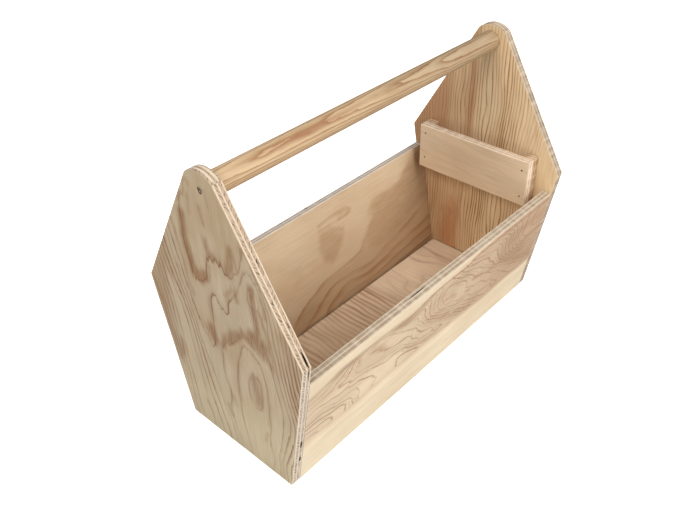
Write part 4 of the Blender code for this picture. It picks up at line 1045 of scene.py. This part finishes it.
# partly painted light: gain lifts the rack board's colour as a lit copy of the plywood
board = finish_mesh("rack_board_wood", bm, plywood("plywood_rack", PK, 67, early_a=lin(222, 193, 156), early_b=lin(214, 183, 146), gain=(1.15, 1.22, 1.34), jag=0.4, fuzz=0.55,
                                                  edge_light=lin(216, 190, 160), edge_dark=lin(176, 146, 118), tick_mix=0.14),
                    node="rack_board")
PK.attributes(board, plain(3), plain(9))
for side, name in ((-1, "rack_spacer_front"), (1, "rack_spacer_back")):
    PS = Panel(name, (0, 1, 0), (0, 0, 1), (1, 0, 0), seed=7 + side, wear=0.0008, rect=True)
    cut = bmesh.new()
    nail_holes(cut, PS.t0 - 0.002, PS.t0 + PS.T + 0.002, only=lambda c, s=side: c[1] * s < 0)
    bm = apply_cut(PS.slab(step=0.004), cut)
    ob = finish_mesh(name + "_wood", bm, plywood("plywood_" + name, PS, 73 + side, gain=(1.02, 1.04, 1.06), edge_light=lin(192, 160, 124), edge_dark=lin(146, 110, 80), tick_mix=0.18),
                     node=name)
    PS.attributes(ob, plain(5, 0.5), plain(6, 0.5))


# =====================================================================  handle
def pine_handle():
    k = Tree("pine_handle")
    g = k.t.nodes.new("ShaderNodeTexCoord")
    x, y, z = k.split(g.outputs["Object"])
    x, y, z = k.mul(x, MM), k.mul(y, MM), k.mul(k.sub(z, float(AX[2])), MM)
    # growth rings round a pith that lies below and behind the dowel and drifts along it
    depth = k.ramp(k.mad(x, 1 / 580.0, 0.5), [(0.0, 0.20), (0.12, 0.30), (0.32, 0.36), (0.45, 0.40), (0.60, 0.52), (0.74, 0.64), (0.88, 0.74), (1.0, 0.78)], "B_SPLINE")
    w1 = k.noise(k.xyz(k.mul(x, 1 / 90.0), 0.3, 0.7), detail=2)
    dist = k.mad(depth, 15.0, 44.0)
    py, pz = k.add(k.mul(dist, 0.60), k.mul(k.sub(w1, 0.5), 5.0)), k.mul(dist, -0.80)
    dy, dz = k.sub(y, py), k.sub(z, pz)
    rr = k.m("SQRT", k.add(k.mul(dy, dy), k.mul(dz, dz)))
    j = k.noise(k.xyz(k.mul(x, 1 / 45.0), k.mul(y, 1 / 6.0), k.mul(z, 1 / 6.0)), detail=2)
    j2 = k.noise(k.xyz(k.mul(x, 1 / 14.0), k.mul(y, 1 / 1.6), k.mul(z, 1 / 1.6)), detail=2)
    F = k.add(k.mul(rr, 1 / 2.7), k.mul(k.sub(j, 0.5), 0.8), k.mul(k.sub(j2, 0.5), 0.18))
    fr = k.m("FRACT", F)
    band = k.ramp(fr, [(0.0, 0.0), (0.30, 0.03), (0.62, 0.30), (0.84, 0.78), (0.95, 1.0), (1.0, 0.2)])
    lines2 = k.step(k.noise(k.xyz(k.mul(x, 1 / 130.0), k.mul(y, 1 / 1.5), k.mul(z, 1 / 1.5)), detail=2, rough=0.6), 0.50, 0.72)
    fib = k.noise(k.xyz(k.mul(x, 1 / 24.0), k.mul(y, 1 / 0.5), k.mul(z, 1 / 0.5)), detail=3, rough=0.65)
    fib2 = k.noise(k.xyz(k.mul(x, 1 / 120.0), k.mul(y, 1 / 3.0), k.mul(z, 1 / 3.0)), detail=2)
    base = k.mix(fib2, lin(210, 186, 150), lin(195, 165, 126))
    col = k.mix(k.mul(band, 0.85), base, lin(146, 100, 58))
    col = k.mix(k.mul(lines2, 0.42), col, lin(152, 108, 66))
    heart = k.mul(k.step(k.m("ABSOLUTE", k.sub(x, -125.0)), 150.0, 20.0), k.step(k.m("ABSOLUTE", k.add(k.mul(y, 0.80), k.mul(z, 0.60), 1.0)), 5.5, 0.5),
                  k.step(k.add(k.mul(y, -0.60), k.mul(z, 0.80)), 2.0, 9.0))
    col = k.mix(k.mul(heart, k.mad(fib2, 0.5, 0.25)), col, lin(150, 98, 58))
    tick = k.step(k.noise(k.xyz(k.mul(x, 1 / 5.0), k.mul(y, 1 / 0.45), k.mul(z, 1 / 0.45)), detail=1), 0.70, 0.80)
    col = k.mix(k.mul(tick, 0.35), col, lin(122, 82, 48))
    col = k.gain(col, k.add(1.0, k.mul(k.sub(fib, 0.5), 0.28)))
    # painted shade: the whole dowel darkens steadily towards its far end
    col = k.gain(col, k.step(x, -260.0, 250.0, 0.95, 0.70))
    k.put(k.bsdf.inputs["Base Color"], col)
    k.put(k.bsdf.inputs["Roughness"], k.add(0.50, k.mul(k.sub(fib, 0.5), 0.25)))
    k.bsdf.inputs["Specular IOR Level"].default_value = 0.38
    k.put(k.bsdf.inputs["Normal"], k.bump(k.add(k.mul(fib, 0.6), k.mul(band, 0.5), k.mul(tick, -0.5)), 0.5, 0.00014))
    return k.mat


lo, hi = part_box("handle_dowel")
hr, hx = (hi[2] - lo[2]) / 2, (hi[0] - lo[0]) / 2
steps, segs = 72, 145
bm = bmesh.new()
rings = []
stations = [(-hx, hr - 0.0004), (-hx + 0.00012, hr - 0.0002), (-hx + 0.0004, hr)] + \
           [(-hx + 0.0004 + (2 * hx - 0.0008) * i / segs, hr) for i in range(1, segs)] + \
           [(hx - 0.0004, hr), (hx - 0.00012, hr - 0.0002), (hx, hr - 0.0004)]
for x, r in stations:
    ring = []
    for i in range(steps):
        a = 2 * math.pi * i / steps
        rr = r - 0.00010 * (1 + noise.noise(Vector((x * 9, math.cos(a) * 1.2, math.sin(a) * 1.2)))) * 0.5
        ring.append(bm.verts.new((x, rr * math.cos(a), AX[2] + rr * math.sin(a))))
    rings.append(ring)
bm.faces.new(rings[0])
bm.faces.new(rings[-1])
for a, b in zip(rings, rings[1:]):
    for i in range(steps):
        n = (i + 1) % steps
        bm.faces.new((a[i], a[n], b[n], b[i]))
bmesh.ops.recalc_face_normals(bm, faces=bm.faces[:])
cut = bmesh.new()
for s in (-1, 1):
    box = screw_l if s < 0 else screw_r
    reach = (float(box[1][0]) - (-hx) if s < 0 else hx - float(box[0][0])) + 0.001
    m = Matrix.Translation((s * hx, 0, AX[2])) @ Matrix.Rotation(0 if s < 0 else math.pi, 4, "Z")
    revolve(cut, [(-0.002, 0), (-0.002, 0.0026), (reach, 0.0026), (reach, 0)], 24, m)
bm = apply_cut(bm, cut)
handle = finish_mesh("handle_dowel_wood", bm, pine_handle(), sharp=30, node="handle_dowel")


# =====================================================================  metal
def steel(name, base, dark, rough, scale=1.0):
    k = Tree(name)
    g = k.t.nodes.new("ShaderNodeTexCoord")
    n1 = k.noise(g.outputs["Object"], scale=420 * scale, detail=3, rough=0.6)
    n2 = k.noise(g.outputs["Object"], scale=2600 * scale, detail=2, rough=0.6)
    col = k.mix(k.step(n1, 0.40, 0.70), base, dark)
    k.put(k.bsdf.inputs["Base Color"], col)
    k.bsdf.inputs["Metallic"].default_value = 1.0
    k.put(k.bsdf.inputs["Roughness"], k.add(rough, k.mul(k.sub(n1, 0.5), 0.25), k.mul(k.sub(n2, 0.5), 0.15)))
    k.put(k.bsdf.inputs["Normal"], k.bump(k.add(n2, k.mul(n1, 0.5)), 0.3, 0.00003))
    return k.mat


zinc = steel("zinc_plated_steel", lin(158, 142, 116), lin(88, 70, 48), 0.38)
dark_steel = steel("dark_steel", lin(74, 60, 46), lin(44, 34, 26), 0.5)


def wood_screw(name, node, s, roll):
    """Cross-recess countersunk screw; local +X from the head's flat face to the point."""
    lo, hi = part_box(node)
    length, head_r, r, root = float(hi[0] - lo[0]), 0.0042, 0.0021, 0.0014
    steps, pitch = 36, 0.0026
    neck, x_thread, x_point = head_r - r + 0.0004, 0.0165, length - 0.0060
    M = Matrix.Translation((float(lo[0]) if s < 0 else float(hi[0]), 0, AX[2])) @ \
        Matrix.Rotation(0 if s < 0 else math.pi, 4, "Z") @ Matrix.Rotation(roll, 4, "X")
    bm = bmesh.new()

    def ring(x, rad):
        return [bm.verts.new(M @ Vector((x, rad * math.cos(2 * math.pi * k / steps), rad * math.sin(2 * math.pi * k / steps))))
                for k in range(steps)]
    head = [ring(0.0, head_r - 0.00012), ring(0.00012, head_r), ring(0.0004, head_r), ring(neck, r), ring(x_thread - 0.0006, r), ring(x_thread, root)]
    bm.faces.new(head[0])
    for a, b in zip(head, head[1:]):
        for k in range(steps):
            n = (k + 1) % steps
            bm.faces.new((a[k], a[n], b[n], b[k]))
    rows = 2 * int((length - 0.0012 - x_thread) / pitch) - 1
    first = x_thread + 0.0003
    grid = []
    for i in range(rows + 1):
        row = []
        for k in range(steps):
            x = first + pitch * (i / 2 + k / steps)
            taper = min(1.0, max(0.12, (length - x) / (length - x_point)))
            grow = min(1.0, max(0.0, (x - first) / (1.2 * pitch)))
            rad = root * taper
            if i % 2:
                rad += (r - root) * grow * (0.35 + 0.65 * taper)
            a = 2 * math.pi * k / steps
            row.append(bm.verts.new(M @ Vector((x, rad * math.cos(a), rad * math.sin(a)))))
        grid.append(row)
    for i in range(rows):
        for k in range(steps - 1):
            bm.faces.new((grid[i][k], grid[i][k + 1], grid[i + 1][k + 1], grid[i + 1][k]))
        if i + 3 <= rows:
            bm.faces.new((grid[i][-1], grid[i + 2][0], grid[i + 3][0], grid[i + 1][-1]))
    top = grid[0] + [grid[2][0], grid[1][0]]
    last = head[-1]
    for k in range(steps - 1):
        bm.faces.new((last[k], last[k + 1], top[k + 1], top[k]))
    bm.faces.new((last[-1], top[steps], top[steps - 1]))
    bm.faces.new((last[-1], top[steps + 1], top[steps]))
    bm.faces.new((last[-1], last[0], top[0], top[steps + 1]))
    tip = bm.verts.new(M @ Vector((length, 0, 0)))
    loop = grid[rows] + [grid[rows - 1][-1], grid[rows - 2][-1]]
    for a, b in zip(loop, loop[1:] + loop[:1]):
        bm.faces.new((a, b, tip))
    bmesh.ops.recalc_face_normals(bm, faces=bm.faces[:])
    cutter = bmesh.new()
    arm, half = 0.0023, 0.00045
    plus = [(arm, -half), (arm, half), (half, half), (half, arm), (-half, arm), (-half, half),
            (-arm, half), (-arm, -half), (-half, -half), (-half, -arm), (half, -arm), (half, -half)]
    rings = []
    for x, q in ((-0.0010, 1.35), (0.0, 1.0), (0.0024, 0.34)):
        rings.append([cutter.verts.new(M @ Vector((x, a * q, b * q))) for a, b in plus])
    cutter.faces.new(rings[0])
    cutter.faces.new(rings[-1])
    for a, b in zip(rings, rings[1:]):
        for k in range(12):
            n = (k + 1) % 12
            cutter.faces.new((a[k], a[n], b[n], b[k]))
    bm = apply_cut(bm, cutter)
    return finish_mesh(name, bm, zinc, sharp=32, node=node)


wood_screw("handle_screw_left_steel", "handle_screw_left", -1, 0.62)
wood_screw("handle_screw_right_steel", "handle_screw_right", 1, 0.25)
for i in range(1, 5):
    node = "rack_nail_%d" % i
    lo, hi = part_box(node)
    c = (lo + hi) / 2
    ln = float(hi[0] - lo[0])
    bm = bmesh.new()
    revolve(bm, [(0.00028, 0), (0.00022, 0.0004), (0.00004, 0.0007), (0.0, 0.00085), (0.0, 0.00128), (0.00012, 0.0014), (0.0008, 0.0014),
                 (0.0012, 0.00115), (0.0016, 0.0010), (ln - 0.0028, 0.0010), (ln - 0.0012, 0.00055), (ln, 0)], 24,
            Matrix.Translation((float(lo[0]), c[1], c[2])))
    finish_mesh(node + "_steel", bm, dark_steel, sharp=40, node=node)


# =====================================================================  joint pins keep their CAD shape
def beech():
    k = Tree("beech_pin")
    g = k.t.nodes.new("ShaderNodeTexCoord")
    x, y, z = k.split(g.outputs["Object"])
    n = k.noise(k.xyz(k.mul(x, 240.0), k.mul(y, 240.0), k.mul(z, 900.0)), detail=3)
    n2 = k.noise(g.outputs["Object"], scale=900, detail=2)
    col = k.mix(n, lin(214, 184, 144), lin(186, 148, 106))
    k.put(k.bsdf.inputs["Base Color"], k.gain(col, k.mad(n2, 0.3, 0.85)))
    k.put(k.bsdf.inputs["Roughness"], k.mad(n2, 0.2, 0.55))
    k.put(k.bsdf.inputs["Normal"], k.bump(n, 0.3, 0.0001))
    return k.mat


pin_mat = beech()
for n in pins:
    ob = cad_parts[n]
    ob.data.materials.clear()
    ob.data.materials.append(pin_mat)


# =====================================================================  stage, light, camera
def stage_floor():
    k = Tree("studio_floor")
    k.t.nodes.remove(k.bsdf)
    diff = k.t.nodes.new("ShaderNodeBsdfDiffuse")
    diff.inputs["Color"].default_value = (0.80, 0.80, 0.80, 1)
    em = k.t.nodes.new("ShaderNodeEmission")
    em.inputs["Color"].default_value = (1, 1, 1, 1)
    lp = k.t.nodes.new("ShaderNodeLightPath")
    em.inputs["Strength"].default_value = 0.0
    geo = k.t.nodes.new("ShaderNodeNewGeometry")
    far = k.t.nodes.new("ShaderNodeVectorMath")
    far.operation = "LENGTH"
    k.put(far.inputs[0], geo.outputs["Position"])
    k.put(em.inputs["Strength"], k.mul(lp.outputs["Is Camera Ray"], k.step(far.outputs["Value"], 0.5, 2.2, FLOOR_GLOW, 1.05)))
    addn = k.t.nodes.new("ShaderNodeAddShader")
    k.t.links.new(diff.outputs[0], addn.inputs[0])
    k.t.links.new(em.outputs[0], addn.inputs[1])
    clear = k.t.nodes.new("ShaderNodeBsdfTransparent")      # one-sided: the underside can be looked at
    pick = k.t.nodes.new("ShaderNodeMixShader")
    k.put(pick.inputs[0], k.m("MAXIMUM", geo.outputs["Backfacing"], lp.outputs["Is Shadow Ray"]))
    k.t.links.new(addn.outputs[0], pick.inputs[1])
    k.t.links.new(clear.outputs[0], pick.inputs[2])
    k.t.links.new(pick.outputs[0], k.out.inputs[0])
    me = bpy.data.meshes.new("studio_floor")
    s, z = 30.0, float(CAD_LO[2]) - 0.0002
    me.from_pydata([(-s, -s, z), (s, -s, z), (s, s, z), (-s, s, z)], [], [(0, 1, 2, 3)])
    me.materials.append(k.mat)
    ob = bpy.data.objects.new("studio_floor", me)
    bpy.context.scene.collection.objects.link(ob)
    ob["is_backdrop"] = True


FLOOR_GLOW = 0.72
stage_floor()

world = bpy.data.worlds.new("studio")
bpy.context.scene.world = world
world.use_nodes = True
wt = world.node_tree
wt.nodes.clear()
wo = wt.nodes.new("ShaderNodeOutputWorld")
bg1, bg2, mixw, lp = (wt.nodes.new(n) for n in ("ShaderNodeBackground", "ShaderNodeBackground", "ShaderNodeMixShader", "ShaderNodeLightPath"))
bg1.inputs[0].default_value, bg1.inputs[1].default_value = (1.0, 0.985, 0.965, 1), 0.06
bg2.inputs[0].default_value, bg2.inputs[1].default_value = (1, 1, 1, 1), 1.0
wt.links.new(lp.outputs["Is Camera Ray"], mixw.inputs[0])
wt.links.new(bg1.outputs[0], mixw.inputs[1])
wt.links.new(bg2.outputs[0], mixw.inputs[2])
wt.links.new(mixw.outputs[0], wo.inputs[0])


def area(name, loc, target, size, power, colour=(1, 1, 1)):
    l = bpy.data.lights.new(name, "AREA")
    l.shape, l.size, l.size_y, l.energy, l.color = "RECTANGLE", size[0], size[1], power, colour
    ob = bpy.data.objects.new(name, l)
    ob.location = loc
    ob.rotation_euler = (Vector(target) - Vector(loc)).to_track_quat("-Z", "Y").to_euler()
    bpy.context.scene.collection.objects.link(ob)
    return ob


area("key", (-0.2, -3.2, 1.5), (0, 0, 0.15), (2.6, 1.8), 48, (1.0, 0.99, 0.975))
area("top", (0.2, -0.4, 3.2), (0, 0, 0.1), (2.4, 2.4), 14, (1.0, 0.99, 0.98))
area("side", (-2.6, -0.3, 2.4), (0, 0, 0.1), (2.0, 2.0), 68, (1.0, 0.99, 0.98))
area("front", (0.6, -2.4, 2.4), (0, 0, 0.1), (2.0, 2.0), 62, (1.0, 0.99, 0.98))
area("rear", (0.3, 2.6, 1.6), (0, 0, 0.1), (2.0, 2.0), 22, (1.0, 0.99, 0.98))
area("under", (0, 0, -1.3), (0, 0, 0), (0.7, 0.3), 6, (1.0, 0.99, 0.98))
area("right", (2.7, -0.2, 1.5), (0, 0, 0.2), (2.0, 2.0), 22, (1.0, 0.99, 0.98))

cam = bpy.data.cameras.new("camera")
co = bpy.data.objects.new("camera", cam)
bpy.context.scene.collection.objects.link(co)
az, el, ro = 0.7487, 0.6398, 0.0271
fwd = Vector((math.cos(el) * math.cos(az), math.cos(el) * math.sin(az), -math.sin(el)))
right_ = Vector((math.sin(az), -math.cos(az), 0))
down = fwd.cross(right_)
r2 = right_ * math.cos(ro) + down * math.sin(ro)
d2 = -right_ * math.sin(ro) + down * math.cos(ro)
rot = Matrix((r2, -d2, -fwd)).transposed()
co.matrix_world = Matrix.Translation((-0.7306, -0.6270, 0.8974)) @ rot.to_4x4()
cam.sensor_width = 36.0
cam.lens = 757.27 * 36 / 700
cam.clip_start, cam.clip_end = 0.01, 100
bpy.context.scene.camera = co

view = bpy.context.scene.view_settings
view.view_transform = "Standard"
view.look = "None"

lo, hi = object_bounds()
